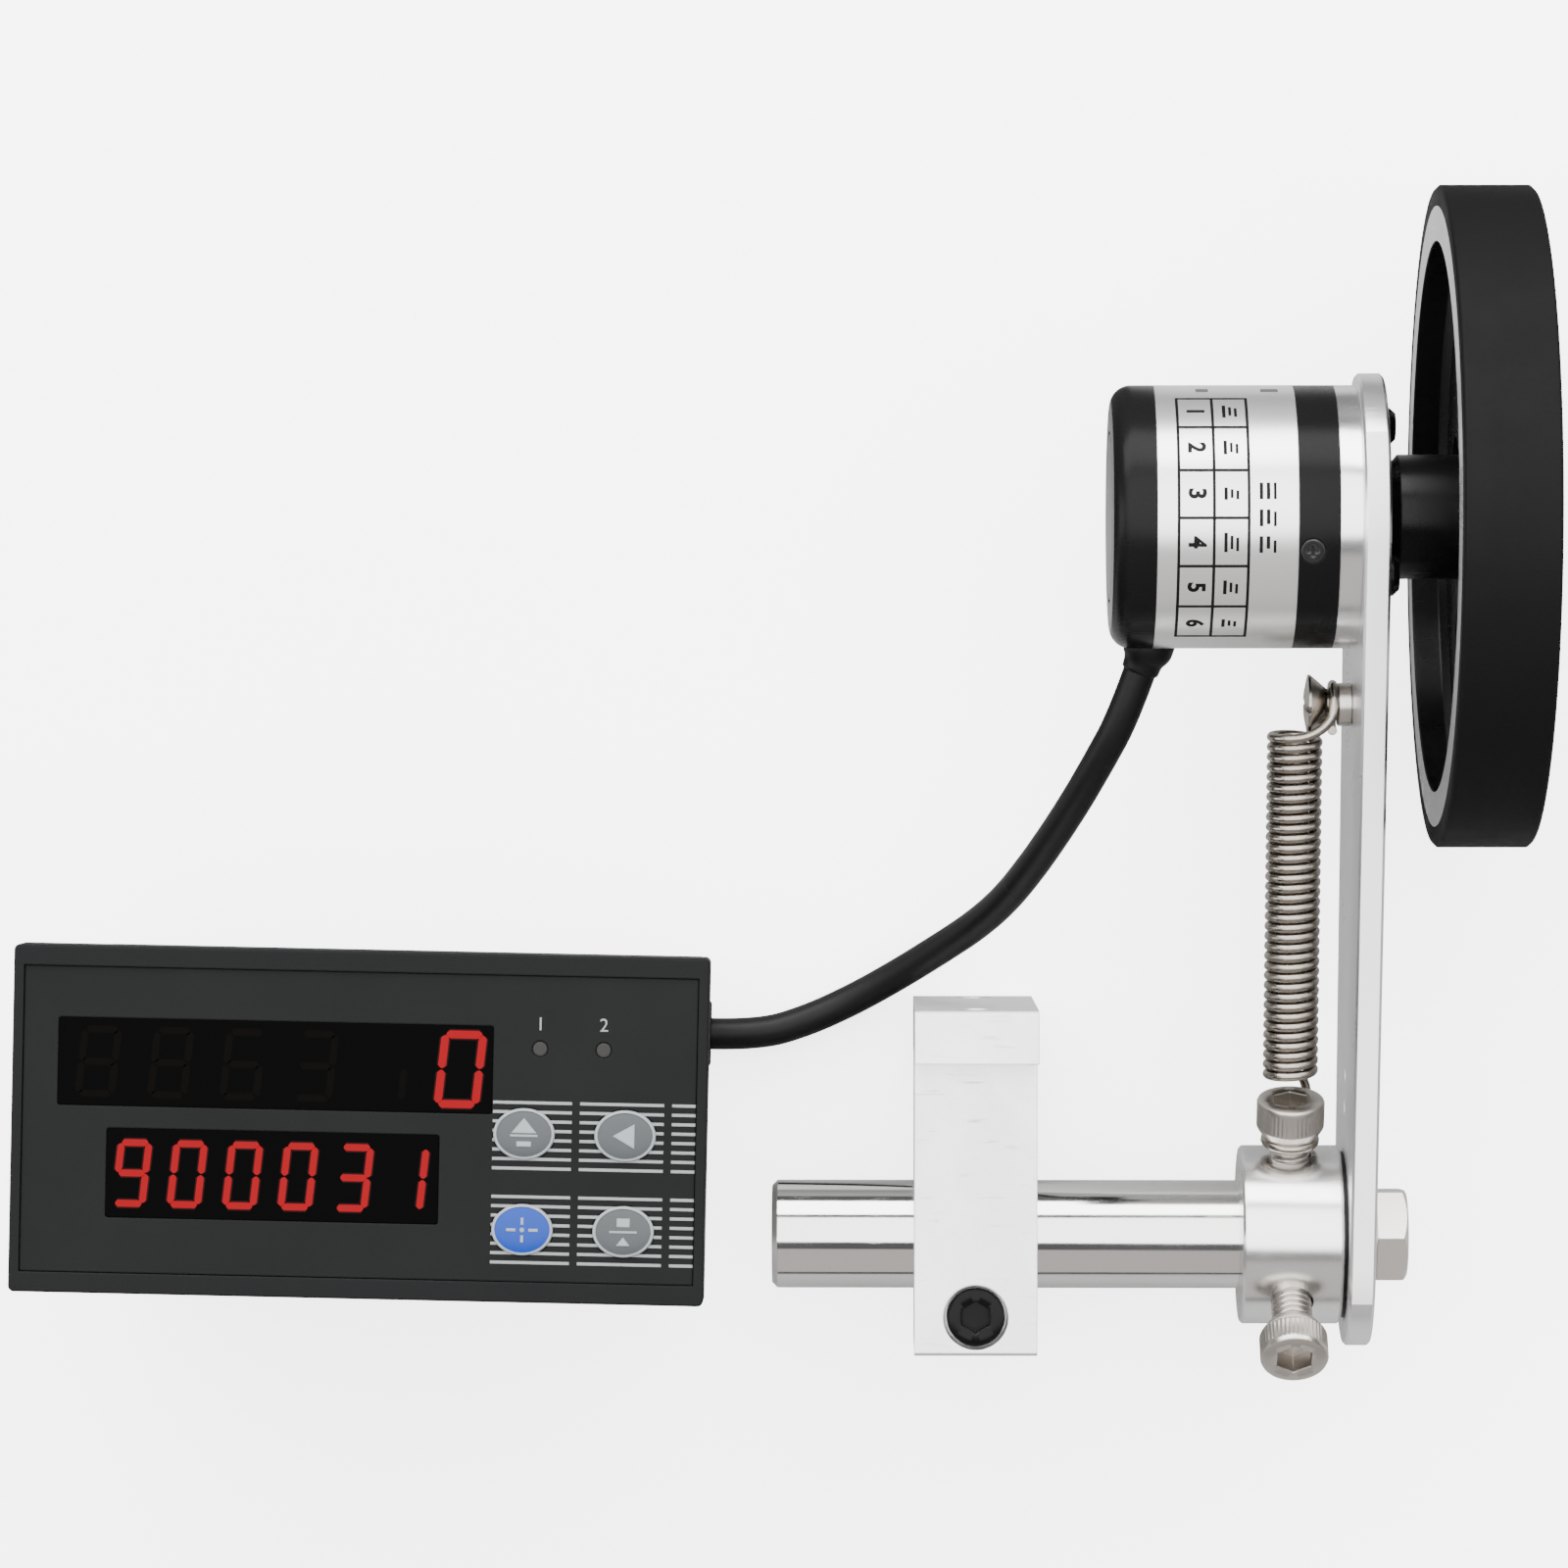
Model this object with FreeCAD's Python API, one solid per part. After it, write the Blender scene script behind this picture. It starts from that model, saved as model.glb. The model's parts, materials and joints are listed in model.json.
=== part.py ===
# Cable length counter: a rubber-tyred measuring wheel on a sprung arm turns an encoder,
# and a panel meter with keys counts the length that has run under the wheel.
# Everything lies on a bench as it was pictured. X runs along the support rod, Y from the
# clamp block towards the wheel, Z up from the bench. The origin is the centre of the clamp
# block's mounting face. All lengths are in millimetres.

import FreeCAD, Part
import math
import os
from FreeCAD import Placement, Rotation, Vector

# Clearances and small finishing sizes shared by all pieces
RUN_GAP = 0.05          # radial clearance of a shaft that turns or slides
THREAD_GAP = 0.05       # radial clearance drawn between a screw and its tapped hole
SCREW_PLAY = 0.25       # radial clearance of a screw in a through hole
SEAT_GAP = 0.1          # clearance between pieces that are dropped into each other
END_PLAY = 0.05         # axial play of a piece that turns between two others
EDGE = 0.4              # chamfer on machined edges
CUT_OVER = 1.0          # how far a cutting tool runs past the face that it opens

# Clamp block
BLOCK_WIDTH = 18.0
BLOCK_DEPTH = 50.0
FLANGE_THICK = 7.7
COLUMN_DEPTH = 27.0
BLOCK_HEIGHT = 51.0
ROD_DROP = 34.2         # mounting face to rod axis
SLIT_WIDTH = 2.0
MOUNT_HOLE_R = 2.75
MOUNT_HOLE_SPACING = 38.0
CLAMP_SCREW_DROP = 11.2  # rod axis to clamp screw axis
CLAMP_SCREW_R = 2.5
CLAMP_HEAD_R = 4.25
CLAMP_HEAD_LENGTH = 5.0
CLAMP_HEX_FLATS = 4.0
CLAMP_HEX_DEPTH = 2.5
CLAMP_SINK_R = 4.75
CLAMP_SINK_DEPTH = 5.4
CLAMP_SCREW_LENGTH = 20.0

# Support rod and stop collar
ROD_R = 8.0
ROD_LEFT_REACH = 30.0   # block centre to the rod's free end
ROD_CHAMFER = 0.8
COLLAR_R = 13.2
COLLAR_WIDTH = 14.8
COLLAR_SCREW_R = 3.0
UPPER_SCREW_LENGTH = 8.0
LOWER_SCREW_LENGTH = 10.0
COLLAR_HEAD_R = 5.0
COLLAR_HEAD_LENGTH = 6.0
COLLAR_HEX_FLATS = 5.0
COLLAR_HEX_DEPTH = 3.2
COLLAR_HEAD_EDGE = 0.5
COLLAR_HEAD_SEAT_R = 3.9
COLLAR_HEAD_TAPER = 1.4  # length over which the head widens from its seat
UPPER_SCREW_ANGLE = 69.0  # degrees from straight up, towards the wheel
SCREW_ANGLE_APART = 114.0

# Arm, its pivot and its spring post
ARM_LEFT_X = 54.5       # block centre to the arm's left face
ARM_THICK = 3.8
ARM_LENGTH = 108.0      # pivot axis to encoder axis
ARM_TOP_R = 20.7
ARM_FOOT_R = 16.4
WASHER_THICK = 0.5
WASHER_R = 12.3
PIVOT_R = 4.0
PIVOT_SHANK = 22.0
PIVOT_FACE_R = 6.2      # washer face under the bolt's head
PIVOT_FACE_THICK = 0.9
PIVOT_HEAD_FLATS = 13.0
PIVOT_HEAD_LENGTH = 4.6
PIVOT_HEAD_EDGE = 0.8   # how far the head's corners are cut back at its end
POST_FROM_ENCODER = 8.7  # encoder's side to the spring post's axis
POST_NECK_R = 2.3
POST_HEAD_R = 4.35
POST_HEAD_LENGTH = 3.3
POST_HEAD_CROWN = 0.5
POST_HEAD_RIM = 0.35
POST_REACH = 6.9        # arm's left face to the far side of the head
POST_SLOT_WIDTH = 1.0
POST_SLOT_DEPTH = 0.9
POST_SLEEVE_R = 3.15
POST_SLEEVE_LENGTH = 2.1
PIN_HOLE_R = 1.25
PIN_HOLE_ALONG = 19.5
PIN_HOLE_STEP = 5.0

# Tension spring
WIRE_D = 1.0
COIL_MEAN_R = 3.4
COIL_PITCH = 1.45
COIL_ENDS = 4.7          # part of the way from the coil's foot to the loop that it leaves free
COIL_FOOT_AHEAD = 9.4  # lower hook centre to the first curl, along the spring
COIL_FOOT_LIFT = 0.9
HOOK_MEAN_R = 3.65
LOOP_MEAN_R = 3.35
HOOK_UNDER_HEAD = 0.6   # underside of the screw head to the hook's wire centre
LOOP_FROM_ARM = 2.75    # arm's left face to the loop's wire centre
WIRE_SIDES = 5

# Encoder
ENCODER_R = 19.0
ENCODER_FLANGE = 3.3
ENCODER_BAND = 5.9
ENCODER_LABEL = 20.0
ENCODER_CAP = 6.2
ENCODER_WALL = 1.5
CAP_RIM_R = 3.0
CAP_GROOVE_R = 12.0
CAP_GROOVE_WIDTH = 0.5
LABEL_THICK = 0.2
SPIGOT_WALL = 4.0
SPIGOT_LENGTH = 15.0
BOSS_R = 10.0
BOSS_LENGTH = 3.0
SHAFT_R = 3.0
BEARING_R = 6.5
BEARING_WIDTH = 5.0
DISC_R = 13.0
DISC_THICK = 0.6
DISC_HUB_R = 5.0
DISC_HUB_LENGTH = 3.0
DISC_SLOTS = 24
DISC_SLOT_WIDTH = 0.8
DISC_SLOT_LENGTH = 2.0
BOARD_THICK = 1.6
SENSOR_BOARD_R = 15.6
SENSOR_POST_R = 1.0
SENSOR_POST_OUT = 14.3
SENSOR_SLOT = 1.8
SENSOR_WIDTH = 6.0
SENSOR_DEPTH = 5.0
SENSOR_WALL = 1.6
M3_R = 1.5
M3_HEAD_R = 2.75
M3_HEAD_LENGTH = 1.8
M3_LENGTH = 8.0
M3_HEX_FLATS = 2.0
M3_CIRCLE_R = 13.2
M3_COUNT = 3
COVER_SCREW_HEAD_R = 1.7
COVER_SCREW_HEAD_LENGTH = 0.8
COVER_SCREW_R = 0.95
COVER_SCREW_LENGTH = 4.0
COVER_SCREW_INSET = 3.9  # flange to screw, along the axis
COVER_SCREW_ANGLE = 4.4  # degrees below straight up, towards the pivot
DRIVE_CROSS_WIDTH = 0.5

# Cable and its strain relief
CABLE_D = 4.8
END_RUN_SHARE = 0.5     # part of the way from an end to the first corner that runs straight out
BEND_SHARE = 0.45       # part of the shorter run that each bend takes up
GLAND_FROM_ARM = 29.5   # arm's left face to the strain relief
GLAND_TILT = 19.0       # degrees
GLAND_ROOT_R = 3.7
GLAND_TIP_R = 2.9
GLAND_LENGTH = 4.0
GLAND_FOOT = 3.4        # part of the strain relief inside the housing
GLAND_FOOT_R = 4.2
GLAND_FOOT_THICK = 0.8

# Measuring wheel
WHEEL_R = 47.75         # 300 mm around
WHEEL_WIDTH = 13.6
WHEEL_GAP = 7.7         # arm's right face to the wheel's near side
TREAD_THICK = 3.0
TREAD_EDGE = 0.5
RIM_INNER_R = 39.75
WEB_THICK = 4.0
WEB_INSET = 5.2
WEB_BEVEL = 1.2
WEB_HOLES = 6
WEB_HOLE_R = 7.5
WEB_HOLE_CIRCLE_R = 25.0
HUB_R = 9.0
HUB_NOSE_R = 7.0
HUB_NOSE_CHAMFER = 1.6
HUB_FROM_ARM = 0.65
HUB_TAIL = 2.5
SET_SCREW_R = 2.0
SET_SCREW_LENGTH = 5.0
SET_SCREW_FLATS = 2.0
SET_SCREW_FROM_NOSE = 5.5

# Panel meter
METER_X = -85.9
METER_Y = -13.8
METER_TURN = -1.2       # degrees, as it lay on the bench
METER_DEPTH = 92.3
BEZEL_WIDTH = 96.0
BEZEL_HEIGHT = 48.0
BEZEL_DEPTH = 7.0
BEZEL_CORNER = 0.8
BEZEL_SIDE = 1.4
BEZEL_TOP = 2.8
BEZEL_LEDGE = 2.0
BEZEL_BACK_RECESS = 3.0
PANEL_THICK = 1.6
PANEL_INSET = 0.4       # bezel front to panel front
BEZEL_OVERHANG = 2.75   # bezel's end past the housing's
BEZEL_RIM_OVERHANG = 3.0  # bezel's long side past the housing's
HOUSING_WALL = 1.8
TERMINAL_DEPTH = 7.3    # housing's rear edge to the terminals' rear face
HOUSING_VENTS = 7
VENT_LENGTH = 14.0
VENT_WIDTH = 1.6
VENT_STEP = 5.0
VENT_FROM_REAR = 14.0
UPPER_WINDOW_SHARES = (-0.4344, 0.1917)    # left and right, as parts of the bezel's width
UPPER_WINDOW_HEIGHTS = (1.9, 14.1)         # bottom, top
LOWER_WINDOW_SHARES = (-0.3625, 0.1167)
LOWER_WINDOW_HEIGHTS = (-13.5, -1.1)
WINDOW_CORNER = 0.4
KEY_SHARES = (0.238, 0.3833)               # places across the bezel's width
KEY_YS = (-0.72, -13.94)
KEY_HALF_SHARE = 0.04427
KEY_ROUNDNESS = 0.835    # a key's height over its width
KEY_GAP = 0.12
KEY_PROUD = 0.35
KEY_TRAVEL = 0.4
KEY_LIP = 0.5
KEY_LIP_THICK = 0.8
KEY_STEM_R = 1.6
KEY_EDGE = 0.25
LED_SHARES = (0.2586, 0.35)
LED_Y = 11.05
LED_R = 1.0
LED_RIM_R = 1.35
LED_RIM_THICK = 0.8
DISPLAY_THICK = 7.0
DISPLAY_MARGIN = 0.3
FRONT_BOARD_GAP = 0.8    # display board's edge to the housing's wall
SWITCH_SIDE = 6.0
SWITCH_BODY = 3.4
SWITCH_PLUNGER_R = 1.7
POWER_BOARD_Y = -14.0
POWER_BOARD_GAP = 3.4    # power board's edge to the housing's wall
TRANSFORMER_WIDTH_SHARE = 0.287            # of the housing's width
TRANSFORMER_HEIGHT = 24.0
TRANSFORMER_DEPTH_SHARE = 0.303            # of the meter's depth
TRANSFORMER_SHARES = (-0.243, 0.368)       # centre across the width, front face down the depth
RELAY_WIDTH_SHARE = 0.166
RELAY_HEIGHT = 15.0
RELAY_DEPTH_SHARE = 0.206
RELAY_STEP_SHARE = 0.193
RELAY_SHARES = (0.155, 0.52)
CAPACITOR_R_SHARE = 0.055                  # of the housing's width
CAPACITOR_LENGTH = 16.0
CAPACITOR_STEP_SHARE = 0.144
CAPACITOR_SHARES = (0.133, 0.282)
REAR_COVER_THICK = 2.4
TERMINAL_WIDTH_SHARE = 0.84
TERMINAL_HEIGHT = 11.0
TERMINAL_GAP = 9.0
TERMINAL_COUNT = 8
TERMINAL_SCREW_R = 1.9
TERMINAL_SCREW_LENGTH = 3.6
TERMINAL_SINK = 1.4
TERMINAL_SLOT_WIDTH = 0.6
TERMINAL_MOUTH_WIDTH = 3.4
TERMINAL_MOUTH_HEIGHT = 2.6
TERMINAL_MOUTH_DEPTH = 3.0
TERMINAL_MOUTH_RISE = 2.2
CLIP_HEIGHT = 30.0
CLIP_THICK = 1.5
CLIP_LENGTH = 26.0
CLIP_BEHIND_BEZEL = 5.0
CLIP_GROOVE = 1.2
CLIP_GROOVES = 5
PLUG_LENGTH = 8.0
PLUG_HEIGHT = 10.0
PLUG_DEPTH = 6.8
PLUG_Y = 9.1
PLUG_OVER_BENCH = 0.2

# Places worked out from the sizes above
BENCH_Z = -BLOCK_DEPTH / 2
ROD_Y = -ROD_DROP
ARM_RIGHT_X = ARM_LEFT_X + ARM_THICK
WHEEL_LIFT = WHEEL_R + BENCH_Z
ARM_LEAN = math.degrees(math.asin(WHEEL_LIFT / ARM_LENGTH))
COLLAR_RIGHT_X = ARM_LEFT_X - WASHER_THICK - END_PLAY
COLLAR_LEFT_X = COLLAR_RIGHT_X - COLLAR_WIDTH
SCREW_X = (COLLAR_LEFT_X + COLLAR_RIGHT_X) / 2
SCREW_SEAT_R = ROD_R + THREAD_GAP
POST_ALONG = ARM_LENGTH - ENCODER_R - POST_FROM_ENCODER
LOWER_SCREW_ANGLE = UPPER_SCREW_ANGLE - SCREW_ANGLE_APART
WHEEL_LEFT_X = ARM_RIGHT_X + WHEEL_GAP
WHEEL_RIGHT_X = WHEEL_LEFT_X + WHEEL_WIDTH
METER_FACE_Z = BENCH_Z + METER_DEPTH
HOUSING_WIDTH = BEZEL_WIDTH - 2 * BEZEL_OVERHANG
HOUSING_HEIGHT = BEZEL_HEIGHT - 2 * BEZEL_RIM_OVERHANG
HOUSING_REAR_Z = TERMINAL_DEPTH - METER_DEPTH
TERMINAL_WIDTH = HOUSING_WIDTH * TERMINAL_WIDTH_SHARE
UPPER_WINDOW = [BEZEL_WIDTH * share for share in UPPER_WINDOW_SHARES] + list(UPPER_WINDOW_HEIGHTS)
LOWER_WINDOW = [BEZEL_WIDTH * share for share in LOWER_WINDOW_SHARES] + list(LOWER_WINDOW_HEIGHTS)
KEY_XS = [BEZEL_WIDTH * share for share in KEY_SHARES]
KEY_HALF_WIDTH = BEZEL_WIDTH * KEY_HALF_SHARE
KEY_HALF_HEIGHT = KEY_HALF_WIDTH * KEY_ROUNDNESS
LED_XS = [BEZEL_WIDTH * share for share in LED_SHARES]

os.makedirs("parts", exist_ok=True)
AXIS_X = Vector(1, 0, 0)
AXIS_Y = Vector(0, 1, 0)
AXIS_Z = Vector(0, 0, 1)
NODES = {}


# Basic forms

def box(x, y, z):
    """A block given by its (low, high) limits along each axis."""
    size = (x[1] - x[0], y[1] - y[0], z[1] - z[0])
    return Part.makeBox(*size, Vector(x[0], y[0], z[0]))


def rod_x(radius, x, y=0, z=0):
    """A cylinder along X between two places."""
    return Part.makeCylinder(radius, x[1] - x[0], Vector(x[0], y, z), AXIS_X)


def rod_y(radius, y, x=0, z=0):
    """A cylinder along Y between two places."""
    return Part.makeCylinder(radius, y[1] - y[0], Vector(x, y[0], z), AXIS_Y)


def rod_z(radius, z, x=0, y=0):
    """A cylinder along Z between two places."""
    return Part.makeCylinder(radius, z[1] - z[0], Vector(x, y, z[0]), AXIS_Z)


def turned(profile):
    """A solid turned about the X axis from (place, radius) corners."""
    points = [Vector(x, r, 0) for x, r in profile]
    face = Part.Face(Part.makePolygon(points + points[:1]))
    return face.revolve(Vector(0, 0, 0), AXIS_X, 360)


def ring_x(outer, inner, x, bevel=0):
    """A turned ring along X with bevelled outer edges."""
    return turned([(x[0], inner), (x[0], outer - bevel), (x[0] + bevel, outer),
                   (x[1] - bevel, outer), (x[1], outer - bevel), (x[1], inner)])


def hexagon(flats, z):
    """A six-sided bar along Z, its size across flats."""
    corner = flats / 2 / math.cos(math.radians(30))
    angles = [math.radians(60 * k) for k in range(6)]
    points = [Vector(corner * math.cos(a), corner * math.sin(a), z[0]) for a in angles]
    face = Part.Face(Part.makePolygon(points + points[:1]))
    return face.extrude(Vector(0, 0, z[1] - z[0]))


def rounded_plate(x, y, z, radius):
    """A plate in the XY plane with rounded corners."""
    plate = box(x, y, z)
    upright = [e for e in plate.Edges if abs(e.tangentAt(e.FirstParameter).z) > 1 - 1e-6]
    return plate.makeFillet(radius, upright)


def oval_bar(half_width, half_height, z, x=0, y=0):
    """An elliptical bar along Z."""
    ring = Part.Ellipse(Vector(x, y, z[0]), half_width, half_height).toShape()
    face = Part.Face(Part.Wire([ring]))
    return face.extrude(Vector(0, 0, z[1] - z[0]))


def moved(shape, placement):
    """A copy of a shape at another place."""
    return shape.transformed(placement.toMatrix())


def cap_screw(radius, length, head_r, head_length, flats, socket, edge, seat_r=0, taper=0):
    """A socket cap screw with its seat at the origin, its shank along -Z."""
    head = rod_z(head_r, (taper, head_length))
    if taper > 0:
        head = head.fuse(Part.makeCone(seat_r, head_r, taper)).removeSplitter()
    rim = [e for e in head.Edges if e.BoundBox.ZMin > head_length / 2]
    head = head.makeChamfer(edge, rim)
    body = head.fuse(rod_z(radius, (-length, 0)))
    return body.cut(hexagon(flats, (head_length - socket, head_length + CUT_OVER))).removeSplitter()


# Places of the sub-assemblies

def on_arm(shape):
    """From the arm's own frame, with Y along it from the pivot, to its place on the bench."""
    lean = Placement(Vector(0, ROD_Y, 0), Rotation(AXIS_X, ARM_LEAN))
    return moved(shape, lean)


def on_encoder(shape):
    """From the encoder's frame, on its own axis, to its place on the bench."""
    return on_arm(moved(shape, Placement(Vector(0, ARM_LENGTH, 0), Rotation())))


def on_meter(shape):
    """From the meter's frame, its face centre at the origin, to its place on the bench."""
    turn = Rotation(AXIS_Z, METER_TURN)
    return moved(shape, Placement(Vector(METER_X, METER_Y, METER_FACE_Z), turn))


def keep(name, *solids):
    """Store the solids of one named piece."""
    NODES[name] = solids[0] if len(solids) == 1 else Part.makeCompound(list(solids))


# Clamp block and its screw

def make_clamp():
    half = BLOCK_WIDTH / 2
    column = COLUMN_DEPTH / 2
    flange = box((-half, half), (-FLANGE_THICK, 0), (-BLOCK_DEPTH / 2, BLOCK_DEPTH / 2))
    post = box((-half, half), (-BLOCK_HEIGHT, -FLANGE_THICK), (-column, column))
    body = flange.fuse(post).removeSplitter()
    long_edges = [e for e in body.Edges if abs(e.tangentAt(e.FirstParameter).x) > 1 - 1e-6
                  and abs(abs(e.CenterOfMass.y) - FLANGE_THICK) > EDGE]
    body = body.makeChamfer(EDGE, long_edges)
    across = (-half - CUT_OVER, half + CUT_OVER)
    body = body.cut(rod_x(ROD_R + RUN_GAP, across, ROD_Y))
    slit = box(across, (-BLOCK_HEIGHT - CUT_OVER, ROD_Y), (-SLIT_WIDTH / 2, SLIT_WIDTH / 2))
    body = body.cut(slit)
    screw_y = ROD_Y - CLAMP_SCREW_DROP
    seat_z = column - CLAMP_SINK_DEPTH
    sink = rod_z(CLAMP_SINK_R, (seat_z, column + CUT_OVER), 0, screw_y)
    passage = rod_z(CLAMP_SCREW_R + SCREW_PLAY, (0, seat_z + CUT_OVER), 0, screw_y)
    tapped = rod_z(CLAMP_SCREW_R + THREAD_GAP, (-column - CUT_OVER, 0), 0, screw_y)
    body = body.cut(sink).cut(passage).cut(tapped)
    for side in (-1, 1):
        hole_z = side * MOUNT_HOLE_SPACING / 2
        body = body.cut(rod_y(MOUNT_HOLE_R, (-FLANGE_THICK - CUT_OVER, CUT_OVER), 0, hole_z))
    keep("clamp_block", body)
    screw = cap_screw(CLAMP_SCREW_R, CLAMP_SCREW_LENGTH, CLAMP_HEAD_R, CLAMP_HEAD_LENGTH,
                      CLAMP_HEX_FLATS, CLAMP_HEX_DEPTH, EDGE)
    keep("clamp_screw", moved(screw, Placement(Vector(0, screw_y, seat_z), Rotation())))


# Support rod, stop collar and pivot bolt

def make_rod():
    right = COLLAR_RIGHT_X
    rod = turned([(-ROD_LEFT_REACH, 0), (-ROD_LEFT_REACH, ROD_R - ROD_CHAMFER),
                  (-ROD_LEFT_REACH + ROD_CHAMFER, ROD_R), (right, ROD_R), (right, 0)])
    hole_depth = PIVOT_SHANK - ARM_THICK + CUT_OVER
    rod = rod.cut(rod_x(PIVOT_R + THREAD_GAP, (right - hole_depth, right + CUT_OVER)))
    keep("support_rod", moved(rod, Placement(Vector(0, ROD_Y, 0), Rotation())))


def screw_placement(angle, distance):
    """A screw pointing at the rod axis, its seat at a distance from it."""
    tilt = math.radians(angle)
    out = Vector(0, math.sin(tilt), math.cos(tilt))
    place = Vector(SCREW_X, ROD_Y, 0) + out * distance
    return Placement(place, Rotation(AXIS_X, -angle))


def make_collar():
    collar = ring_x(COLLAR_R, ROD_R + SEAT_GAP / 2, (COLLAR_LEFT_X, COLLAR_RIGHT_X), EDGE)
    collar = moved(collar, Placement(Vector(0, ROD_Y, 0), Rotation()))
    screws = []
    for angle, length in ((UPPER_SCREW_ANGLE, UPPER_SCREW_LENGTH), (LOWER_SCREW_ANGLE, LOWER_SCREW_LENGTH)):
        hole = rod_z(COLLAR_SCREW_R + THREAD_GAP, (0, COLLAR_R + CUT_OVER))
        collar = collar.cut(moved(hole, screw_placement(angle, 0)))
        screw = cap_screw(COLLAR_SCREW_R, length, COLLAR_HEAD_R, COLLAR_HEAD_LENGTH,
                          COLLAR_HEX_FLATS, COLLAR_HEX_DEPTH, COLLAR_HEAD_EDGE,
                          COLLAR_HEAD_SEAT_R, COLLAR_HEAD_TAPER)
        screws.append(moved(screw, screw_placement(angle, SCREW_SEAT_R + length)))
    keep("stop_collar", collar)
    keep("collar_screws", *screws)


def make_pivot():
    washer = rod_x(WASHER_R, (COLLAR_RIGHT_X, COLLAR_RIGHT_X + WASHER_THICK), ROD_Y)
    washer = washer.cut(rod_x(PIVOT_R + SCREW_PLAY, (COLLAR_RIGHT_X - CUT_OVER, ARM_LEFT_X), ROD_Y))
    keep("pivot_washer", washer)
    head = hexagon(PIVOT_HEAD_FLATS, (0, PIVOT_HEAD_LENGTH))
    corner = PIVOT_HEAD_FLATS / 2 / math.cos(math.radians(30))
    end_r = PIVOT_HEAD_FLATS * 0.475
    spread = (corner - end_r) / PIVOT_HEAD_EDGE * PIVOT_HEAD_LENGTH
    head = head.common(Part.makeCone(end_r + spread, end_r, PIVOT_HEAD_LENGTH))
    face = rod_z(PIVOT_FACE_R, (-PIVOT_FACE_THICK, 0))
    bolt = head.fuse(face).fuse(rod_z(PIVOT_R, (-PIVOT_SHANK, 0))).removeSplitter()
    seat_x = ARM_RIGHT_X + END_PLAY + PIVOT_FACE_THICK
    place = Placement(Vector(seat_x, ROD_Y, 0), Rotation(AXIS_Y, 90))
    keep("pivot_bolt", moved(bolt, place))


# Arm, spring post and mounting screws

def arm_outline():
    """The flat outline: two round ends joined by straight sides that touch both."""
    tilt = math.asin((ARM_TOP_R - ARM_FOOT_R) / ARM_LENGTH)
    side = (math.sin(tilt), math.cos(tilt))
    foot = [Vector(0, -ARM_FOOT_R * side[0], s * ARM_FOOT_R * side[1]) for s in (1, -1)]
    top = [Vector(0, ARM_LENGTH - ARM_TOP_R * side[0], s * ARM_TOP_R * side[1]) for s in (1, -1)]
    edges = [Part.Arc(foot[0], Vector(0, -ARM_FOOT_R, 0), foot[1]).toShape(),
             Part.LineSegment(foot[1], top[1]).toShape(),
             Part.Arc(top[1], Vector(0, ARM_LENGTH + ARM_TOP_R, 0), top[0]).toShape(),
             Part.LineSegment(top[0], foot[0]).toShape()]
    return Part.Wire(edges)


def m3_places():
    """The screw places around the encoder axis, the first at the arm's far end."""
    for k in range(M3_COUNT):
        angle = 2 * math.pi * k / M3_COUNT
        yield M3_CIRCLE_R * math.cos(angle), M3_CIRCLE_R * math.sin(angle)


def make_arm():
    plate = Part.Face(arm_outline()).extrude(Vector(ARM_THICK, 0, 0))
    plate = plate.makeChamfer(EDGE, [e for e in plate.Edges
                                     if e.BoundBox.XLength < EDGE])
    through = (-CUT_OVER, ARM_THICK + CUT_OVER)
    plate = plate.cut(rod_x(PIVOT_R + RUN_GAP, through))
    plate = plate.cut(rod_x(BOSS_R + SEAT_GAP, through, ARM_LENGTH))
    plate = plate.cut(rod_x(POST_NECK_R + THREAD_GAP, through, POST_ALONG))
    for k in range(2):
        plate = plate.cut(rod_x(PIN_HOLE_R, through, PIN_HOLE_ALONG + k * PIN_HOLE_STEP))
    for y, z in m3_places():
        plate = plate.cut(rod_x(M3_R + SCREW_PLAY, through, ARM_LENGTH + y, z))
    plate = moved(plate, Placement(Vector(ARM_LEFT_X, 0, 0), Rotation()))
    keep("arm_plate", on_arm(plate))


def make_post():
    far = ARM_LEFT_X - POST_REACH
    rim = far + POST_HEAD_CROWN + POST_HEAD_RIM
    neck = far + POST_HEAD_LENGTH
    profile = [(far, 0), (far, POST_HEAD_R * 0.45), (far + POST_HEAD_CROWN, POST_HEAD_R),
               (rim, POST_HEAD_R), (neck, POST_NECK_R), (ARM_RIGHT_X, POST_NECK_R), (ARM_RIGHT_X, 0)]
    post = turned(profile)
    slot = box((far - CUT_OVER, far + POST_SLOT_DEPTH), (-POST_SLOT_WIDTH / 2, POST_SLOT_WIDTH / 2),
               (-POST_HEAD_R - CUT_OVER, POST_HEAD_R + CUT_OVER))
    post = post.cut(slot)
    along = Placement(Vector(0, POST_ALONG, 0), Rotation())
    keep("spring_post", on_arm(moved(post, along)))
    sleeve = ring_x(POST_SLEEVE_R, POST_NECK_R + SEAT_GAP / 2,
                    (ARM_LEFT_X - POST_SLEEVE_LENGTH, ARM_LEFT_X), EDGE / 2)
    keep("post_sleeve", on_arm(moved(sleeve, along)))


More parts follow.
